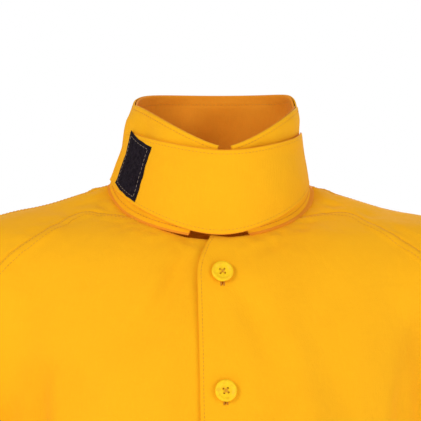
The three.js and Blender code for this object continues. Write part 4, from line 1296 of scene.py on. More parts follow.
    def back(self) -> bpy.types.Object:
        """Returns: the back panel."""
        s = self.size
        v = np.unique(np.concatenate([shares(830, self.pitch), [0.5]]))
        u = shares(480, self.pitch)
        right = self.body_edge(v, False)
        left = right * [-1, 1, 1]
        foot = self.hem(-90 + 180 * u, 1)
        head = self.seams.neck(360 - s.raglan_back_angle + (2 * s.raglan_back_angle - 360) * u)
        places = self.form.onto(coons(left, right, foot, head, u, v), rounds=12)
        seam = self.seam_distance(places)
        neck = self.drape.near(places, self.drape.neck_line)
        face, out = self.hang(
            places, felled(seam, False) + self.hem_relief(places[..., 2]) - 0.6 * np.exp(-((neck / 2.2) ** 2))
        )
        self.hem_stitches(face, true_normals(face, out))
        grid = Grid.of(face, out)
        obj = sheet_mesh("back", grid, s.cloth)
        Grid.of(places, out)
        return dress(obj, self.finishes.shell, "coat", ["back_panel"])

    def sleeve(self, side: Side, front: bool) -> bpy.types.Object:
        """Args: side: which arm; front: its front or back half. Returns: that half of the sleeve."""
        f, s = self.form, self.size
        v = np.unique(np.concatenate([shares(690, self.pitch, True, False), [0.6]]))
        u = shares(190, self.pitch)
        over = f.onto(self.seams.overarm(v), rounds=14)
        edge = np.where(
            (v < 0.6)[:, None], self.seams.raglan(np.clip(v, 0, 0.6) / 0.6, front),
            self.seams.underside((np.clip(v, 0.6, 1) - 0.6) / 0.4)
        )
        square = unit(unit(f.slope(over)) + unit(f.slope(edge)))
        on_arm = eased(v, 0.24, 0.54)[:, None]
        way = unit(square * (1 - on_arm) + f.forward * (1 if front else -1) * on_arm)
        chord = over[:, None] + (edge - over)[:, None] * ((1 - np.cos(np.pi * u)) / 2)[None, :, None]
        places = f.out_to(chord, way[:, None])
        places[:, 0], places[:, -1] = over, f.onto(edge, rounds=10)
        end = s.raglan_front_angle if front else s.raglan_back_angle
        seam_row = self.seams.neck(90 + (end - 90) * u)
        places = places + (seam_row - places[0])[None] * (np.clip(1 - v * 6, 0, 1) ** 2)[:, None, None]
        places = f.onto(places, rounds=8)
        if side is Side.RIGHT:
            places = places * [-1, 1, 1]
        if front != (side is Side.LEFT):
            places = places[:, ::-1]
        q = places * [1, 1, 1]
        q[..., 0] = np.abs(q[..., 0])
        seam = self.drape.near(q, np.concatenate([self.drape.raglans, self.seams.underside(np.linspace(0, 1, 90))]))
        ridge = self.drape.near(q, self.seams.overarm(np.linspace(0, 1, 200)))
        neck = self.drape.near(places, self.drape.neck_line)
        extra = felled(seam, False) + felled(ridge, not front) - 0.6 * np.exp(-((neck / 2.2) ** 2))
        face, out = self.hang(places, extra)
        if not front:
            column, way_in = (0, 1) if np.linalg.norm(q[40, 0] - over[40]) < np.linalg.norm(q[40, -1] - over[40]) else (-1, -1)
            self.edge_rows(face, true_normals(face, out), column, way_in, (2.4, 9.0))
        name = f"{side.word}_sleeve_{'front' if front else 'back'}"
        grid = Grid.of(face, out)
        obj = sheet_mesh(f"{name}_half", grid, s.cloth)
        Grid.of(places, out)
        return dress(obj, self.finishes.shell, "coat", [name])

    def stitch(self) -> bpy.types.Object:
        """Returns: every row of topstitching on the outer cloth."""
        return dress(stitches("shell_topstitching", self.stitch_lines), self.finishes.thread, "coat")

    def build_panels(self) -> None:
        """Builds every panel."""
        for side in Side:
            self.front(side)
            self.sleeve(side, True)
            self.sleeve(side, False)
        self.back()


def lump(line: Array, radius: float, sides: int = 8) -> tuple[Array, Array]:
    """Args: line: (n, 3) a path in mm; radius: of the tube; sides: round it. Returns: corners and faces."""
    t = unit(np.gradient(line, axis=0))
    ref = np.array([0.0, 0.0, 1.0]) if abs(t[len(t) // 2, 2]) < 0.9 else np.array([1.0, 0.0, 0.0])
    a = unit(np.cross(t, ref))
    b = np.cross(t, a)
    turn = np.linspace(0, math.tau, sides, endpoint=False)
    ring = line[:, None] + radius * (
        a[:, None] * np.cos(turn)[None, :, None] + b[:, None] * np.sin(turn)[None, :, None]
    )
    n = len(line)
    verts = np.concatenate([ring.reshape(-1, 3), line[:1], line[-1:]])
    i, k = np.meshgrid(np.arange(n - 1), np.arange(sides), indexing="ij")
    nxt = (k + 1) % sides
    quads = np.stack([i * sides + k, i * sides + nxt, (i + 1) * sides + nxt, (i + 1) * sides + k], -1).reshape(-1, 4)
    caps = [(n * sides, (q + 1) % sides, q, q) for q in range(sides)]
    caps += [
        (
            n * sides + 1, (n - 1) * sides + q, (n - 1) * sides + (q + 1) % sides,
            (n - 1) * sides + (q + 1) % sides
        ) for q in range(sides)
    ]
    return verts, np.concatenate([quads, np.array(caps)])


def joined(name: str, parts: Sequence[tuple[Array, Array]]) -> bpy.types.Object:
    """Args: name; parts: (corners in mm, faces) of each tube; degenerate corners are three-sided. Returns: one
    object.
    """
    mesh = bpy.data.meshes.new(name)
    verts: list[Array] = []
    faces: list[tuple[int, ...]] = []
    base = 0
    for v, f in parts:
        verts.append(v)
        for face in f:
            corner = list(dict.fromkeys(int(c) + base for c in face))
            if len(corner) > 2:
                faces.append(tuple(corner))
        base += len(v)
    mesh.from_pydata((np.concatenate(verts) * MM).tolist(), [], faces)
    mesh.validate()
    mesh.polygons.foreach_set("use_smooth", np.ones(len(mesh.polygons), bool))
    obj = bpy.data.objects.new(name, mesh)
    bpy.context.scene.collection.objects.link(obj)
    return obj


def applied(obj: bpy.types.Object) -> None:
    """Args: obj: a mesh with modifiers. Makes their result the mesh itself."""
    graph = bpy.context.evaluated_depsgraph_get()
    mesh = bpy.data.meshes.new_from_object(obj.evaluated_get(graph), depsgraph=graph)
    obj.modifiers.clear()
    obj.data = mesh


def minus(obj: bpy.types.Object, tool: bpy.types.Object) -> None:
    """Args: obj: to cut; tool: removed from it, and then deleted."""
    cut = obj.modifiers.new("cut", "BOOLEAN")
    cut.operation, cut.object, cut.solver = "DIFFERENCE", tool, "EXACT"
    applied(obj)
    bpy.data.objects.remove(tool, do_unlink=True)


# ---------------------------------------------------------------- collar and throat tab


class Neckwear:
    """The stand collar, its throat tab and the tape that fastens the tab."""

    half_angle = 84.0

    def __init__(self, shell: Shell) -> None:
        """Args: shell: the coat's outer cloth, which the collar is sewn to."""
        self.shell, self.seams, self.finishes = shell, shell.seams, shell.finishes
        self.uneven = Ripple(33, 30)
        self.small = Ripple(12, 13)
        self.lines: list[tuple[Array, Array]] = []

    def at(self, angle: Array, height: Array) -> tuple[Array, Array]:
        """Args: angle: round the neck; height: above its seam, in mm. Returns: places on the middle surface,
        and the full height.
        """
        s = self.shell.size
        turn = np.radians(angle)
        front, foot = np.cos(turn), self.seams.neck(angle)
        square = np.where(np.sin(turn) > 0, 6.0, 2.2)
        behind = 80 + 14 * (1 - (1 - np.abs(front)) ** square)
        top_z = np.where(front > 0, 37 + 43 * np.abs(np.sin(turn)) ** 1.4, behind)
        top = np.stack([80 * np.sin(turn) + 5, np.where(front > 0, -84 * front, -72 * front), top_z], -1)
        full = top_z - foot[..., 2]
        share = np.clip(height / full, -0.05, 1.1)[..., None]
        drawn = np.clip(share, 0, 1.1) ** np.where(np.sin(turn) < 0, 0.55, 0.4)[..., None]
        place = foot * (1 - drawn) + top * drawn
        place[..., 0] = place[..., 0] + 5 * (share - drawn)[..., 0]
        place[..., 2] = (foot * (1 - share) + top * share)[..., 2]
        return place, full

    def off(self, angle: Array, height: Array, out: Array | float) -> tuple[Array, Array]:
        """Args: as for at; out: from the middle surface. Returns: places there, and the way out."""
        place, _ = self.at(angle, height)
        run = self.at(angle + 0.5, height)[0] - self.at(angle - 0.5, height)[0]
        rise = self.at(angle, height + 0.5)[0] - self.at(angle, height - 0.5)[0]
        n = unit(np.cross(run, rise))
        return place + n * np.asarray(out, float)[..., None], n

    def collar(self, outer: bool) -> bpy.types.Object:
        """Args: outer: the outer or the inner half. Returns: it."""
        share = shares(94, 3.6)[:, None]
        u = shares(540, 4.0)[None]
        end = 16.9 + (4.05 - 16.9) * share
        angle = end + (360 - 2 * end) * u
        full = self.at(angle, np.zeros_like(angle))[1]
        height = -0.6 + (full + 0.6) * share
        rim = np.minimum(np.minimum((full - height), u * 540 + 0 * height), (1 - u) * 540 + 0 * height)
        plump = np.sqrt(np.clip(1 - (1 - np.clip(rim / 2.4, 0, 1)) ** 2, 0, 1))
        place, _ = self.off(angle, height, 0.0)
        calm = eased(rim, 2, 16) * eased(height, 0, 12)
        wavy = self.uneven(place) * 1.5 * calm + self.small(place, (1, 1, 1.6)) * 0.35 * eased(rim, 1, 8)
        behind = np.where(np.cos(np.radians(angle)) > 0, 0.0, 1.0)
        row_at = 4.4 + 5.4 * behind * eased(np.abs(np.cos(np.radians(angle))), 0.1, 0.5)
        groove = -0.35 * np.exp(-(((rim - row_at) / 0.9) ** 2)) - 0.3 * np.exp(-(((height - 5) / 1.0) ** 2))
        rooted = 1 - 0.9 * (1 - eased(height, -0.6, 8))
        out = (1.05 + 1.45 * plump + groove) * rooted
        place, n = self.off(angle, height, (out if outer else -out) + wavy)
        n = n if outer else -n
        grid = Grid.of(place, n)
        name, nodes = (
            "collar_outside", ["collar_outer", "collar_stiffener"]
        ) if outer else ("collar_inside", ["collar_lining"])
        obj = sheet_mesh(name, grid, 1.0)
        dress(
            obj, self.finishes.shell if outer else self.finishes.lining,
            "coat", nodes
        )
        laid = self.off(angle, height, 0.0)
        Grid.of(laid[0], laid[1])
        a = np.linspace(6, 354, 420)
        back = np.where(np.cos(np.radians(a)) > 0, 0.0, 1.0) * eased(np.abs(np.cos(np.radians(a))), 0.1, 0.5)
        rows = (
            (lambda f: f - 4.4 - 5.4 * back), (lambda f: 5.0 + 0 * f)
        ) if outer else ((lambda f: f - 4.4 - 5.4 * back),)
        for row in rows:
            full_a = self.at(a, np.zeros_like(a))[1]
            h = row(full_a)
            e = 16.9 + (4.05 - 16.9) * (h / full_a)
            keep = (a > e + 3) & (a < 357 - e)
            p, way = self.off(a[keep], h[keep], 0.0)
            bumps = self.uneven(p) * 1.5 * eased(full_a[keep] - h[keep], 2, 16) * eased(h[keep], 0, 12) + self.small(p, (1, 1, 1.6)) * 0.35
            p, way = self.off(a[keep], h[keep], (2.25 if outer else -2.25) + bumps)
            self.lines.append((p, way if outer else -way))
        return obj

    def tab_height(self, angle: Array, v: Array) -> Array:
        """Args: angle: round the neck; v: 0 lower edge to 1 upper edge. Returns: mm above the neck seam."""
        a = np.abs(angle)
        ends = (a / self.half_angle) ** 2.2
        foot = 2.6 + 8 * eased(a, 0, 58) - 3 * eased(a, 60, self.half_angle)
        top = 84 - 20 * ends - 6 * (a / self.half_angle) ** 8
        return foot + (top - foot) * v

    def tab_out(self, angle: Array) -> Array:
        """Args: angle: round the neck. Returns: how far the tab's outer face stands off the collar's middle."""
        sewn = 1 - eased(np.asarray(angle, float), 56, 83)
        return 4.8 + 1.8 * sewn

    def tab(self) -> None:
        """Builds the throat tab's two layers and its stitches."""
        v = shares(80, 3.4)[:, None]
        u = shares(300, 3.6)[None]
        slant = 2.2 * (v - 0.5)
        angle = (-self.half_angle + slant) + (2 * self.half_angle - slant) * u
        height = self.tab_height(angle, v)
        rim = np.minimum(np.minimum(v, 1 - v) * 80, np.minimum(u, 1 - u) * 300)
        plump = np.sqrt(np.clip(1 - (1 - np.clip(rim / 2.2, 0, 1)) ** 2, 0, 1))
        soft = self.tab_soft(angle, height)
        groove = -0.22 * np.exp(-(((rim - 4.2) / 0.9) ** 2))
        out = self.tab_out(angle) - 1.1 + 1.1 * plump + groove + soft
        place, n = self.off(angle, height, out)
        outer = sheet_mesh("throat_tab_outside", Grid.of(place, n), 1.0)
        dress(outer, self.finishes.shell, None, ["throat_tab_outer"])
        inner_out = self.tab_out(angle) - 1.2 - 1.1 * plump + soft
        place2, n2 = self.off(angle, height, inner_out)
        inner = sheet_mesh("throat_tab_inside", Grid.of(place2[:, ::-1], -n2[:, ::-1]), 0.9)
        dress(inner, self.finishes.lining, None, ["throat_tab_lining"])
        laid = self.off(angle, height, 0.0)
        for piece, node in ((outer, "throat_tab_outer"), (inner, "throat_tab_lining")):
            Grid.of(laid[0], laid[1])
        lines = []
        a = np.linspace(-self.half_angle + 3, self.half_angle - 3, 260)
        for share in (0.053, 0.947):
            lines.append(self.on_tab(a, np.full_like(a, share)))
        w = np.linspace(0.06, 0.94, 60)
        for end in (-self.half_angle + 2.6, self.half_angle - 2.6, self.half_angle - 5.6):
            lines.append(self.on_tab(np.full_like(w, end), w))
        sewn = dress(stitches("throat_tab_stitching", lines), self.finishes.thread, None)
        for piece in (outer, inner, sewn):
            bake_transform(piece)

    def on_tab(self, angle: Array, v: Array, lift: float = 0.0) -> tuple[Array, Array]:
        """Args: angle, v: on the tab; lift: above its face. Returns: places and normals on its outer face."""
        height = self.tab_height(angle, v)
        return self.off(angle, height, self.tab_out(angle) - 0.3 + self.tab_soft(angle, height) + lift)

    def tab_soft(self, angle: Array, height: Array) -> Array:
        """Args: angle, height: on the tab. Returns: how far its cloth swells off its even line, in mm."""
        base, _ = self.off(angle, height, 0.0)
        low, high = self.tab_height(angle, 0.0 * height), self.tab_height(angle, 0.0 * height + 1)
        rim = np.minimum(height - low, high - height)
        broad = self.uneven(base + [60, 0, 0], (1.5, 1.5, 1)) * 1.0 * eased(rim, 2, 20)
        return broad + self.small(base + [9, 9, 9], (1.4, 1.4, 1)) * 0.3 * eased(rim, 1, 9)

    def tape(
        self, name: str, node: str, body: str, angle: float, width: float, foot: float, height: float,
        out: float, facing_out: bool = True, boxed: bool = False, on_tab: bool = False
    ) -> None:
        """A rectangle of tape with a matted pile, sewn down round its edge.

        Args:
            name, node, body: the piece, the CAD node that it stands for, and its body.
            angle, width, foot, height: where it lies round and up the neck, in degrees and mm.
            out: its outer face, from the collar's middle surface.
            facing_out: whether its pile faces out.
            boxed: whether its box of stitches is made.
            on_tab: whether it lies on the tab's cloth and follows it.
        """
        half = math.degrees(width / 2 / 92.7)
        pitch = 0.9 if boxed else 2.4
        u = np.linspace(0, 1, int(width / pitch))[None]
        v = np.linspace(0, 1, int(height / pitch))[:, None]
        ripple = Ripple(61, 1.6, 30)
        frayed = Ripple(62, 5)
        leaning = 5.0 if boxed else 0.0
        a = angle + half * (2 * u - 1) + leaning * (v - 0.5)
        h = foot + height * v + 0 * u
        base, _ = self.off(a, h, 0.0)
        wobble = frayed(base) * 0.22
        rim = np.minimum(np.minimum(u, 1 - u) * width, np.minimum(v, 1 - v) * height)
        a = a + wobble * 0.5 * (rim < 2)
        h = h + frayed(base + 40) * 0.3 * (rim < 2)
        relief = ripple(base) * 0.28 * eased(rim, 0.6, 3) - 0.45 * np.exp(-(((rim - 3.4) / 0.7) ** 2)) - 0.5 * (1 - eased(rim, 0, 1.2))
        soft = self.tab_soft(a, h) if on_tab else 0.0
        place, n = self.off(a, h, out + soft + (relief if facing_out else -relief))
        if not facing_out:
            place, n = place[:, ::-1], -n[:, ::-1]
        dress(sheet_mesh(name, Grid.of(place, n), 1.0), self.finishes.tape, body, [node])
        if boxed:
            inset = 3.4
            side = half * (1 - 2 * inset / width)
            t = np.linspace(0, 1, 90)
            corners = [
                (angle - side, foot + inset), (angle + side, foot + inset),
                (angle + side, foot + height - inset), (angle - side, foot + height - inset)
            ]
            rows = []
            for (a0, h0), (a1, h1) in zip(corners, corners[1:] + corners[:1]):
                th = h0 + (h1 - h0) * t
                ta = a0 + (a1 - a0) * t + leaning * ((th - foot) / height - 0.5)
                rows.append(self.off(ta, th, out - 0.05 + self.tab_soft(ta, th)))
            dress(stitches("throat_patch_box_stitch", rows, 3.0, 1.1, 0.4), self.finishes.box_thread, body)

    def build(self) -> None:
        """Builds the collar, the tab and their tape."""
        self.collar(True)
        self.collar(False)
        dress(stitches("collar_topstitching", self.lines), self.finishes.thread, "coat")
        self.tab()
        end = -self.half_angle
        self.tape("collar_loop_tape", "collar_loop_patch", "coat", end + 9, 33, 14, 53, 3.4)
        self.tape("throat_hook_tape", "throat_tab_hook_patch", "throat_tab", end + 13, 25, 16, 38, 3.5, False)
        self.tape(
            "throat_loop_tape", "throat_tab_loop_patch", "throat_tab", end + 22, 37, 14, 56, 7.7, True, True,
            True
        )


# ---------------------------------------------------------------- buttons


class Buttons:
    """Six four-hole buttons, their thread and the worked buttonholes."""

    radius, thick, count, hole, offset = 10.5, 3.6, 6, 0.95, 2.1

    def __init__(self, shell: Shell) -> None:
        """Args: shell: the coat's outer cloth."""
        self.shell, self.finishes = shell, shell.finishes

    def frame(self, index: int) -> tuple[Array, Array, Array, Array]:
        """Args: index: from the top. Returns: a button's place and its right, up and out directions."""
        s, f = self.shell.size, self.shell.form
        z = -s.neck_drop - 34 - 110 * index
        place = f.facing(np.array(0.0), np.array(z))
        out = f.normal(place)
        right = unit(np.cross([0.0, 0.0, 1.0], out))
        return place, right, np.cross(out, right), out

    def body(self) -> bpy.types.Object:
        """Returns: one button with its holes, at the origin, facing +Z."""
        r, t = self.radius, self.thick
        profile = [
            (0, 0), (r - 1.6, 0), (r - 0.6, 0.5), (r - 0.1, 1.2), (r, 1.8), (r - 0.15, 2.5), (r - 0.6, 3.1),
            (r - 1.2, 3.5), (r - 1.8, t), (r - 2.6, t - 0.15), (r - 3.3, t - 0.55), (r - 4.0, t - 1.0),
            (r - 4.8, t - 1.2), (0, t - 1.2)
        ]
        sides = 72
        turn = np.linspace(0, math.tau, sides, endpoint=False)
        verts = [(0.0, 0.0, 0.0)] + [
            (a * math.cos(q), a * math.sin(q), z) for a, z in profile[1:-1] for q in turn
        ] + [(0.0, 0.0, t - 1.2)]
        faces: list[tuple[int, ...]] = [(0, 1 + (q + 1) % sides, 1 + q) for q in range(sides)]
        rings = len(profile) - 2
        for ring in range(rings - 1):
            for q in range(sides):
                a, b = 1 + ring * sides + q, 1 + ring * sides + (q + 1) % sides
                faces.append((a, b, b + sides, a + sides))
        last = 1 + (rings - 1) * sides
        faces += [(last + q, last + (q + 1) % sides, len(verts) - 1) for q in range(sides)]
        mesh = bpy.data.meshes.new("button")
        mesh.from_pydata([tuple(c * MM for c in v) for v in verts], [], faces)
        obj = bpy.data.objects.new("button", mesh)
        bpy.context.scene.collection.objects.link(obj)
        drills = [
            lump(
                np.array([[x, y, -1.0], [x, y, 0.5], [x, y, t + 1]]), self.hole, 20
            ) for x in (-self.offset, self.offset) for y in (-self.offset, self.offset)
        ]
        minus(obj, joined("drill", drills))
        obj.data.polygons.foreach_set("use_smooth", np.ones(len(obj.data.polygons), bool))
        obj.data.set_sharp_from_angle(angle=math.radians(50))
        return obj

    def thread(self) -> tuple[list[tuple[Array, Array]], float]:
        """Returns: the tubes of the crossed thread and the shank, at the origin, and how high they start."""
        tubes, o = [], self.offset
        face = 1.8 + self.thick - 1.2
        for k, (ax, ay) in enumerate(((1, 1), (1, -1))):
            for strand in (-0.27, 0.27):
                t = np.linspace(-1, 1, 15)
                across = np.array([-ay, ax]) / math.sqrt(2) * strand
                rise = face + (0.75 + 0.3 * k) * np.clip(1 - np.abs(t) ** 6, 0, 1) - 1.6 * (np.abs(t) > 0.97)
                tubes.append(lump(np.stack([ax * o * t + across[0], ay * o * t + across[1], rise], 1), 0.25, 6))
        for turn in range(5):
            a = np.linspace(0, math.tau, 16)
            tubes.append(lump(np.stack([1.0 * np.cos(a), 1.0 * np.sin(a), np.full(16, -2.2 + 0.7 * turn)], 1), 0.4, 6))
        return tubes, face

    def build(self) -> None:
        """Builds every button, its thread and its buttonhole's stitches."""
        master = self.body()
        for i in range(self.count):
            place, right, up, out = self.frame(i)
            lift = float(self.shell.drape.height(place[None])[0] + self.shell.pressed(place[None], Side.LEFT)[0])
            tilt = np.random.default_rng(40 + i).uniform(-0.16, 0.16)
            r2, u2 = right * math.cos(tilt) + up * math.sin(tilt), up * math.cos(tilt) - right * math.sin(tilt)
            basis = np.stack([r2, u2, out], 1)
            origin = place + out * (lift + 1.8)
            obj = master if i == 0 else bpy.data.objects.new("button", master.data.copy())
            if i:
                bpy.context.scene.collection.objects.link(obj)
            obj.name = obj.data.name = f"button_{i + 1}"
            count = len(obj.data.vertices)
            co = np.empty(count * 3, np.float32)
            if i == 0:
                obj.data.vertices.foreach_get("co", co)
                self.model_corners = co.reshape(-1, 3).copy()
            moved = self.model_corners @ basis.T + origin * MM
            obj.data.vertices.foreach_set("co", moved.astype(np.float32).ravel())
            obj.data.update()
            dress(obj, self.finishes.button, "coat", [f"front_button_{i + 1}"])
            tubes = [(v @ basis.T + place + out * lift, f) for v, f in self.thread()[0]]
            dress(
                joined(f"button_thread_{i + 1}", tubes), self.finishes.button_thread, "coat",
                [f"front_button_thread_{i + 1}"]
            )
        self.holes_stitching()

    def holes_stitching(self) -> None:
        """Builds the satin stitches round each buttonhole."""
        tubes = []
        s = self.shell
        for i in range(self.count):
            place, right, up, out = self.frame(i)
            for side in (-1, 1):
                t = np.linspace(-11.6, 11.6, 48)
                for a in t:
                    ends = np.array([place + right * (side * w) + up * (a - 1.5) for w in (0.75, 1.3, 2.2)])
                    tubes.append((ends, a))
        base = np.concatenate([e for e, _ in tubes])
        skin = s.form.onto(base, rounds=4)
        n = s.form.normal(skin)
        lift = s.drape.height(skin) + s.pressed(skin, Side.LEFT) + np.tile([0.1, 0.45, 0.0], len(tubes))
        skin = (skin + n * lift[:, None]).reshape(-1, 3, 3)
        dress(
            joined("buttonhole_stitches", [lump(p, 0.25, 5) for p in skin]), self.finishes.thread,
            "coat"
        )


def open_buttonholes(obj: bpy.types.Object, shell: Shell) -> None:
    """Args: obj: the left front; shell: the coat's cloth. Cuts a narrow slot for each button."""
    buttons = Buttons(shell)
    slots = []
    for i in range(buttons.count):
        place, right, up, out = buttons.frame(i)
        a = np.linspace(0, math.tau, 20, endpoint=False)
        ring = np.stack([0.7 * np.cos(a), 11.0 * np.sign(np.sin(a)) * np.abs(np.sin(a)) ** 0.4 - 1.5], 1)
        front = place + ring[:, :1] * right + ring[:, 1:] * up + out * 14
        back = front - out * 28
        faces = [(q, (q + 1) % 20, (q + 1) % 20 + 20, q + 20) for q in range(20)]
        mesh_faces = [np.array(f) for f in faces]
        slots.append((np.concatenate([front, back]), mesh_faces))
    mesh = bpy.data.meshes.new("slots")
    verts, faces, base = [], [], 0
    for v, f in slots:
        verts += (v * MM).tolist()
        faces += [tuple(int(c) + base for c in face[::-1]) for face in f]
        faces += [tuple(base + q for q in range(20)), tuple(base + 20 + q for q in reversed(range(20)))]
        base += 40
    mesh.from_pydata(verts, [], faces)
    mesh.validate()
    tool = bpy.data.objects.new("slots", mesh)
    bpy.context.scene.collection.objects.link(tool)
    before = len(obj.data.vertices)
    minus(obj, tool)
    log.info("buttonholes: %d corners became %d", before, len(obj.data.vertices))


# ---------------------------------------------------------------- pockets


class Pocket:
    """A patch pocket and its flap, on one front."""

    width, height, middle, foot, mouth = 146.0, 185.0, 118.0, 60.0, 15.0
    flap_height, flap_extra, rise = 70.0, 5.0, 18.0

    def __init__(self, shell: Shell, side: Side) -> None:
        """Args: shell: the coat's outer cloth; side: which front it is on."""
        self.shell, self.side, self.finishes = shell, side, shell.finishes
        self.top = -shell.size.body_length + self.foot + self.height
        self.soft = Ripple(71 + side.value, 26)
        self.lines: list[tuple[Array, Array]] = []

    def swell(self, across: Array) -> Array:
        """Args: across: -0.5 to 0.5 over the pocket. Returns: how full it is there, 0 to 1."""
        return np.clip(np.cos(np.pi * np.clip(across, -0.5, 0.5)), 0, 1) ** 0.6

    def skin(self, across: Array, z: Array) -> Array:
        """Args: across: share of the width from the middle; z: height. Returns: places on the form, on this side."""
        p = self.shell.form.facing(self.middle + self.width * across, z)
        return p if self.side is Side.LEFT else p * [-1, 1, 1]

    def facing_grid(self, across: Array, z: Array, height: Array) -> Grid:
        """Args: across, z: as for skin; height: off the draped front. Returns: the sheet, wound to face out."""
        across, z = np.broadcast_arrays(across, z)
        face, out = self.shell.hang(self.skin(across, z), height)
        if self.side is Side.RIGHT:
            face, out = face[:, ::-1], out[:, ::-1]
        return Grid.of(face, out)

    def bag(self) -> None:
        """Builds the pocket's bag and its stitches."""
        u, v = shares(self.width, 3.6)[None] - 0.5, shares(self.height, 4.2)[:, None]
        z = self.top - self.height * (1 - v)
        rim = np.minimum((0.5 - np.abs(u)) * self.width + 0 * v, v * self.height + 0 * u)
        mouth = (1 - v) * self.height
        full = self.mouth * self.swell(u) * eased(v * 1.05)
        p = self.skin(u + 0 * v, z + 0 * u)
        relief = 1.5 + 0.5 * eased(rim, 0, 1.6) - 0.35 * np.exp(-(((rim - 2.6) / 0.8) ** 2)) - 0.35 * np.exp(-(((rim - 9.4) / 0.9) ** 2))
        relief = relief + 0.8 * (1 - eased(mouth, 22, 24)) - 0.3 * np.exp(-(((mouth - 21) / 0.9) ** 2))
        height = np.maximum(0.4 + full + self.soft(p) * 1.2 * eased(rim, 8, 30), 0.4) + relief
        grid = self.facing_grid(u, z, height)
        name = f"{self.side.word}_pocket"
        obj = sheet_mesh(name, grid, self.shell.size.cloth)
        dress(obj, self.finishes.shell, "coat", [f"{name}_bag"])
        normal = true_normals(grid.places, grid.out)
        for column, way in ((0, 1), (-1, -1)):
            self.shell.edge_rows(grid.places, normal, column, way, (2.6, 9.4))
        for row in (3, 8):
            self.shell.stitch_lines.append((grid.places[row, 2:-2], normal[row, 2:-2]))
        k = -8
        self.shell.stitch_lines.append((grid.places[k, 1:-1], normal[k, 1:-1]))
        for column in (3, -4):
            for offset in (-0.6, 0.0, 0.6):
                self.shell.stitch_lines.append((grid.places[-9:, column] + [offset, 0, 0], normal[-9:, column]))

    def flap_out(self, across: Array, down: Array) -> Array:
        """Args: across: as for skin; down: from the hinge, in mm. Returns: the flap's outer face, off the front."""
        clear = self.mouth * self.swell(across) + 1.6 + 3.8
        return 1.2 + clear * eased(down, 0, self.rise - 2) + 1.2

    def flap(self) -> None:
        """Builds the flap, its tape and its stitches."""
        half = 0.5 + self.flap_extra / self.width
        u = (2 * shares(self.width + 10, 3.6)[None] - 1) * half
        v = shares(self.flap_height, 3.0)[::-1][:, None]
        corner = 12.0
        edge = (half - np.abs(u)) * self.width
        cut = corner * (1 - eased(edge, 0, corner)) * v
        down = self.flap_height * v - cut
        rim = np.minimum(edge + 0 * v, self.flap_height * (1 - v) + 0 * u)
        z = self.top + self.rise - down
        p = self.skin(u + 0 * v, z + 0 * u)
        relief = -0.5 * (1 - eased(rim, 0, 1.6)) - 0.35 * np.exp(-(((rim - 2.8) / 0.8) ** 2)) - 0.3 * np.exp(-(((rim - 9) / 0.9) ** 2))
        curl = 2.0 * eased(down, 40, 70) * np.cos(np.pi * u * 1.4) + self.soft(p + 30) * 0.8 * eased(down, 6, 40)
        height = self.flap_out(u, down) + relief + curl
        grid = self.facing_grid(u, z, height)
        name = f"{self.side.word}_pocket_flap"
        obj = sheet_mesh(f"{name}_cloth", grid, self.shell.size.cloth)
        dress(obj, self.finishes.shell, name, [name])
        normal = true_normals(grid.places, grid.out)
        lines = []
        shown, self.shell.stitch_lines = self.shell.stitch_lines, lines
        for column, way in ((0, 1), (-1, -1)):
            self.shell.edge_rows(grid.places, normal, column, way, (2.8, 9.0))
        self.shell.stitch_lines = shown
        for row in (3, 7, -4):
            lines.append((grid.places[row, 2:-2], normal[row, 2:-2]))
        dress(stitches(f"{name}_stitching", lines), self.finishes.thread, name)
        self.tape(f"{name}_hook_tape", f"{self.side.word}_pocket_hook_patch", name, self.flap_under)
        self.tape(f"{self.side.word}_pocket_loop_tape", f"{self.side.word}_pocket_loop_patch", "coat", self.bag_over)

    def flap_under(self, across: Array, down: Array) -> Array:
        """Args: across, down: on the flap. Returns: the hook tape's outer face, off the front."""
        return self.flap_out(across, down) - 1.5

    def bag_over(self, across: Array, down: Array) -> Array:
        """Args: across, down: as on the flap. Returns: the loop tape's outer face, off the front."""
        up = (self.rise - down + self.height) / self.height
        return 0.4 + self.mouth * self.swell(across) * eased(up * 1.05) + 1.6 + 1.5

    def tape(self, name: str, node: str, body: str, height: Callable[[Array, Array], Array]) -> None:
        """Args: name, node, body: the piece, its CAD node and its body; height: of its outer face off the front."""
        u = np.linspace(-0.5, 0.5, 40)[None] * 60 / self.width
        down = np.linspace(58, 36, 16)[:, None]
        rim = np.minimum(
            (0.5 * 60 / self.width - np.abs(u)) * self.width + 0 * down,
            np.minimum(58 - down, down - 36) + 0 * u
        )
        h = height(u + 0 * down, down + 0 * u) - 0.4 * (1 - eased(rim, 0, 1.4)) - 0.3 * np.exp(-(((rim - 3) / 0.8) ** 2))
        grid = self.facing_grid(u, self.top + self.rise - down, h)
        dress(sheet_mesh(name, grid, 1.2), self.finishes.tape, body, [node])


# ---------------------------------------------------------------- cuffs


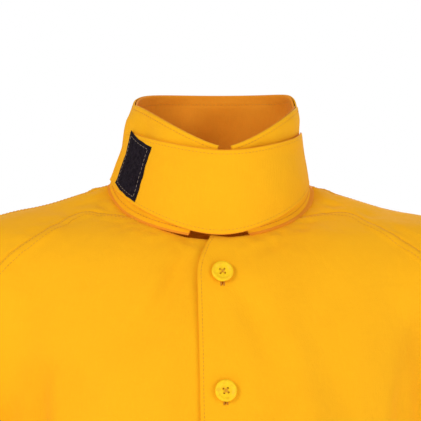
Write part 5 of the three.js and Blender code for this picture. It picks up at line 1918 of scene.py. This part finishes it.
class Cuff:
    """A cuff band, its wrist tab and the tab's tape, on one sleeve."""

    height, tab_height, start, reach = 46.0, 32.0, -150.0, 112.0

    def __init__(self, shell: Shell, side: Side) -> None:
        """Args: shell: the coat's outer cloth; side: which sleeve."""
        self.shell, self.side, self.finishes = shell, side, shell.finishes

    def at(self, up: Array, angle: Array, height: Array) -> Grid:
        """Args: up: from the wrist, in mm; angle: 0 outward, 90 forward; height: off the sleeve's cloth.
        Returns: the sheet.
        """
        f = self.shell.form
        up, angle, height = np.broadcast_arrays(up, angle, height)
        along = 1 - up / f.sleeve_length
        side, front = f.sleeve_half(along)
        turn = np.radians(angle)
        p = f.arm_axis(along) + f.outward * (side * np.cos(turn))[..., None] + f.forward * (front * np.sin(turn))[..., None]
        p = f.onto(p, rounds=6)
        if self.side is Side.RIGHT:
            p = p * [-1, 1, 1]
        face, out = self.shell.hang(p, height)
        return Grid.of(face, out)

    def build(self) -> None:
        """Builds the band, the tab, the tape and their stitches."""
        word = self.side.word
        v = shares(self.height, 3.0)[:, None]
        u = np.linspace(0, 1, 130)[None]
        rim = np.minimum(v, 1 - v) * self.height
        relief = 2.1 - 0.5 * (1 - eased(rim, 0, 1.6)) - 0.35 * np.exp(-(((rim - 2.6) / 0.8) ** 2)) - 0.3 * np.exp(-(((rim - 9) / 0.9) ** 2)) + 0 * u
        grid = self.at(2 + self.height * v, 180.4 + 359.2 * u, relief)
        cuff = dress(
            sheet_mesh(f"{word}_cuff", grid, 1.2), self.finishes.shell, "coat",
            [f"{word}_cuff_band"]
        )
        normal = true_normals(grid.places, grid.out)
        for row in (3, 7, -4, -8):
            self.shell.stitch_lines.append((grid.places[row, 1:-1], normal[row, 1:-1]))
        foot = 2 + (self.height - self.tab_height) / 2
        v = shares(self.tab_height, 2.6)[:, None]
        u = shares(115, 3.0)[None]
        rounding = 9.0 * (1 - np.sqrt(np.clip(1 - (1 - np.clip((1 - u) * 115 / 9.0, 0, 1)) ** 2, 0, 1)))
        up = foot + self.tab_height * 0.5 + (self.tab_height - 2 * rounding) * (v - 0.5)
        rim = np.minimum(np.minimum(v, 1 - v) * self.tab_height, np.minimum(u, 1 - u) * 115)
        lean = 2.1 + 1.3 + 4.0 * eased(u, 0.02, 0.3)
        relief = lean + 0.4 * eased(rim, 0, 1.5) - 0.35 * np.exp(-(((rim - 2.8) / 0.8) ** 2))
        tab = self.at(up, self.start + self.reach * u, relief)
        name = f"{word}_wrist_tab"
        piece = dress(sheet_mesh(f"{name}_cloth", tab, 1.2), self.finishes.shell, name, [name])
        n = true_normals(tab.places, tab.out)
        lines = [
            (tab.places[3, 2:-3], n[3, 2:-3]), (tab.places[-4, 2:-3], n[-4, 2:-3]),
            (tab.places[2:-2, 3], n[2:-2, 3]), (tab.places[3:-3, -4], n[3:-3, -4])
        ]
        dress(stitches(f"{name}_stitching", lines), self.finishes.thread, name)
        end = self.start + self.reach
        for label, node, body, start, out in (
            ("hook_tape", "wrist_hook_patch", name, end - 30, 6.1),
            ("loop_tape", "wrist_loop_patch", "coat", end - 46, 3.9)
        ):
            a = np.linspace(start, end - 4, 34)[None]
            h = np.linspace(foot + 4, foot + self.tab_height - 4, 18)[:, None]
            rim = np.minimum(
                np.minimum(a - start, end - 4 - a) + 0 * h,
                np.minimum(h - foot - 4, foot + self.tab_height - 4 - h) + 0 * a
            )
            tape = self.at(h, a, out - 0.4 * (1 - eased(rim, 0, 1.4)))
            dress(sheet_mesh(f"{word}_{label}", tape, 1.1), self.finishes.tape, body, [f"{word}_{node}"])


class HangerLoop:
    """A loop of webbing inside the back of the neck."""

    span, drop, width, thick = 64.0, 24.0, 7.0, 1.6

    def __init__(self, finishes: Finishes) -> None:
        """Args: finishes: the coat's materials."""
        self.finishes = finishes

    def build(self) -> None:
        """Builds the webbing, with a ribbed face and rounded edges."""
        half, turn = self.span / 2 - self.width / 2, self.drop / 2 - self.width / 2
        level = -(self.drop - self.width / 2)
        arc = np.linspace(0, math.pi / 2, 14)
        line = [(-half, 0.0), *[(-half, z) for z in np.linspace(-1, level + turn, 5)]]
        line += [(-half + turn * (1 - math.cos(a)), level + turn * (1 - math.sin(a))) for a in arc[1:]]
        line += [(x, level) for x in np.linspace(-half + turn + 2, half - turn - 2, 24)]
        line += [(half - turn * (1 - math.cos(a)), level + turn * (1 - math.sin(a))) for a in arc[::-1][:-1]]
        line += [(half, z) for z in np.linspace(level + turn, -1, 5)] + [(half, 0.0)]
        c = np.array(line)
        t = unit(np.gradient(c, axis=0))
        across = np.stack([-t[:, 1], t[:, 0]], 1)
        w = np.linspace(-0.5, 0.5, 15)
        xz = c[:, None] + across[:, None] * (w * self.width)[None, :, None]
        bow = 0.5 * np.cos(c[:, 0] / half * 1.4)[:, None] + 0.16 * np.cos(w * 44)[None] - 0.3 * (np.abs(w) > 0.47)[None]
        y = 59.5 - self.thick - bow
        places = np.stack([xz[..., 0], y + 0 * xz[..., 0], xz[..., 1] + 7.4], -1)
        out = np.broadcast_to([0.0, -1.0, 0.0], places.shape)
        obj = sheet_mesh("hanger_webbing", Grid.of(places, out), self.thick - 0.2)
        dress(obj, self.finishes.lining, "hanger_loop", ["hanger_loop"])
        rows = []
        for x in (-half, half):
            for z in (5.6, 3.4):
                s = np.linspace(-2.6, 2.6, 5)
                rows.append((np.stack([x + s, np.full(5, 57.45), np.full(5, z)], 1), np.tile([0.0, -1.0, 0.0], (5, 1))))
        dress(stitches("hanger_stitching", rows, 2.2, 0.5, 0.35), self.finishes.thread, "hanger_loop")


# ---------------------------------------------------------------- studio


@dataclass(frozen=True)
class Studio:
    """A pale floor, soft light all round and the camera."""

    floor_z: float = -0.92
    turned: float = 6.0
    distance: float = 2.2
    lens: float = 188.0
    aim: tuple[float, float, float] = (0.0, 0.0, -0.0245)

    def build(self) -> None:
        """Builds the floor, the world, the lamps and the camera."""
        size = 12.0
        floor = raw_mesh(
            "floor",
            np.array(
                [
                    [-size, -size, self.floor_z], [size, -size, self.floor_z], [size, size, self.floor_z],
                    [-size, size, self.floor_z]
                ]
            ),
            np.array([[0, 1, 2, 3]]), smooth=False
        )
        m = bpy.data.materials.new("pale_floor")
        m.use_nodes = True
        m.node_tree.nodes["Principled BSDF"].inputs["Base Color"].default_value = (0.86, 0.86, 0.86, 1)
        m.node_tree.nodes["Principled BSDF"].inputs["Roughness"].default_value = 0.9
        m.node_tree.nodes["Principled BSDF"].inputs["Emission Color"].default_value = (1, 1, 1, 1)
        m.node_tree.nodes["Principled BSDF"].inputs["Emission Strength"].default_value = 0.3
        floor.data.materials.append(m)
        world = bpy.data.worlds.new("soft_room")
        bpy.context.scene.world = world
        world.use_nodes = True
        g = Graph(world.node_tree)
        world.node_tree.nodes.clear()
        seen = g.node("ShaderNodeBackground", {"Color": (1, 1, 1, 1), "Strength": 1.0})
        light = g.node("ShaderNodeBackground", {"Color": (1.0, 0.99, 0.975, 1), "Strength": 0.5})
        ray = g.node("ShaderNodeLightPath")
        mix = g.node(
            "ShaderNodeMixShader",
            {"#0": ray.outputs["Is Camera Ray"], "#1": light.outputs[0], "#2": seen.outputs[0]}
        )
        out = g.node("ShaderNodeOutputWorld")
        world.node_tree.links.new(mix.outputs[0], out.inputs["Surface"])
        for name, place, power, width in (
            ("key", (-2.1, -2.3, 0.9), 34.5, 1.0), ("fill", (2.1, -2.4, 0.2), 20.5, 1.5),
            ("top", (0.1, 0.3, 2.4), 3.0, 1.4), ("rear", (0.9, 2.6, 1.2), 34.0, 1.4)
        ):
            lamp = bpy.data.lights.new(name, "AREA")
            lamp.energy, lamp.size = power, width
            obj = bpy.data.objects.new(name, lamp)
            obj.location = place
            obj.rotation_euler = (Vector((0, 0, -0.25)) - Vector(place)).to_track_quat("-Z", "Y").to_euler()
            bpy.context.scene.collection.objects.link(obj)
        a = math.radians(self.turned)
        aim = Vector(self.aim)
        data = bpy.data.cameras.new("camera")
        data.lens, data.sensor_width = self.lens, 36.0
        camera = bpy.data.objects.new("camera", data)
        camera.location = aim + Vector((-math.sin(a), -math.cos(a), 0)) * self.distance
        camera.rotation_euler = (aim - camera.location).to_track_quat("-Z", "Y").to_euler()
        bpy.context.scene.collection.objects.link(camera)
        bpy.context.scene.camera = camera
        bpy.context.scene.view_settings.view_transform = "Standard"


def main() -> None:
    """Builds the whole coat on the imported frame, piece by piece."""
    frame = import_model()
    log.info("frame loaded: %s", type(frame).__name__)
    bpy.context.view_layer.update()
    finishes = Finishes()
    form = WornForm(CoatSize())
    seams = Seams(form)
    drape = Drape(form, seams)
    shell = Shell(form, seams, drape, finishes)
    shell.build_panels()
    Neckwear(shell).build()
    Buttons(shell).build()
    for side in Side:
        pocket = Pocket(shell, side)
        pocket.bag()
        pocket.flap()
        Cuff(shell, side).build()
    shell.stitch()
    HangerLoop(finishes).build()
    Studio().build()


if __name__ == "__main__":
    logging.basicConfig(level=logging.INFO, format="%(message)s")
    main()
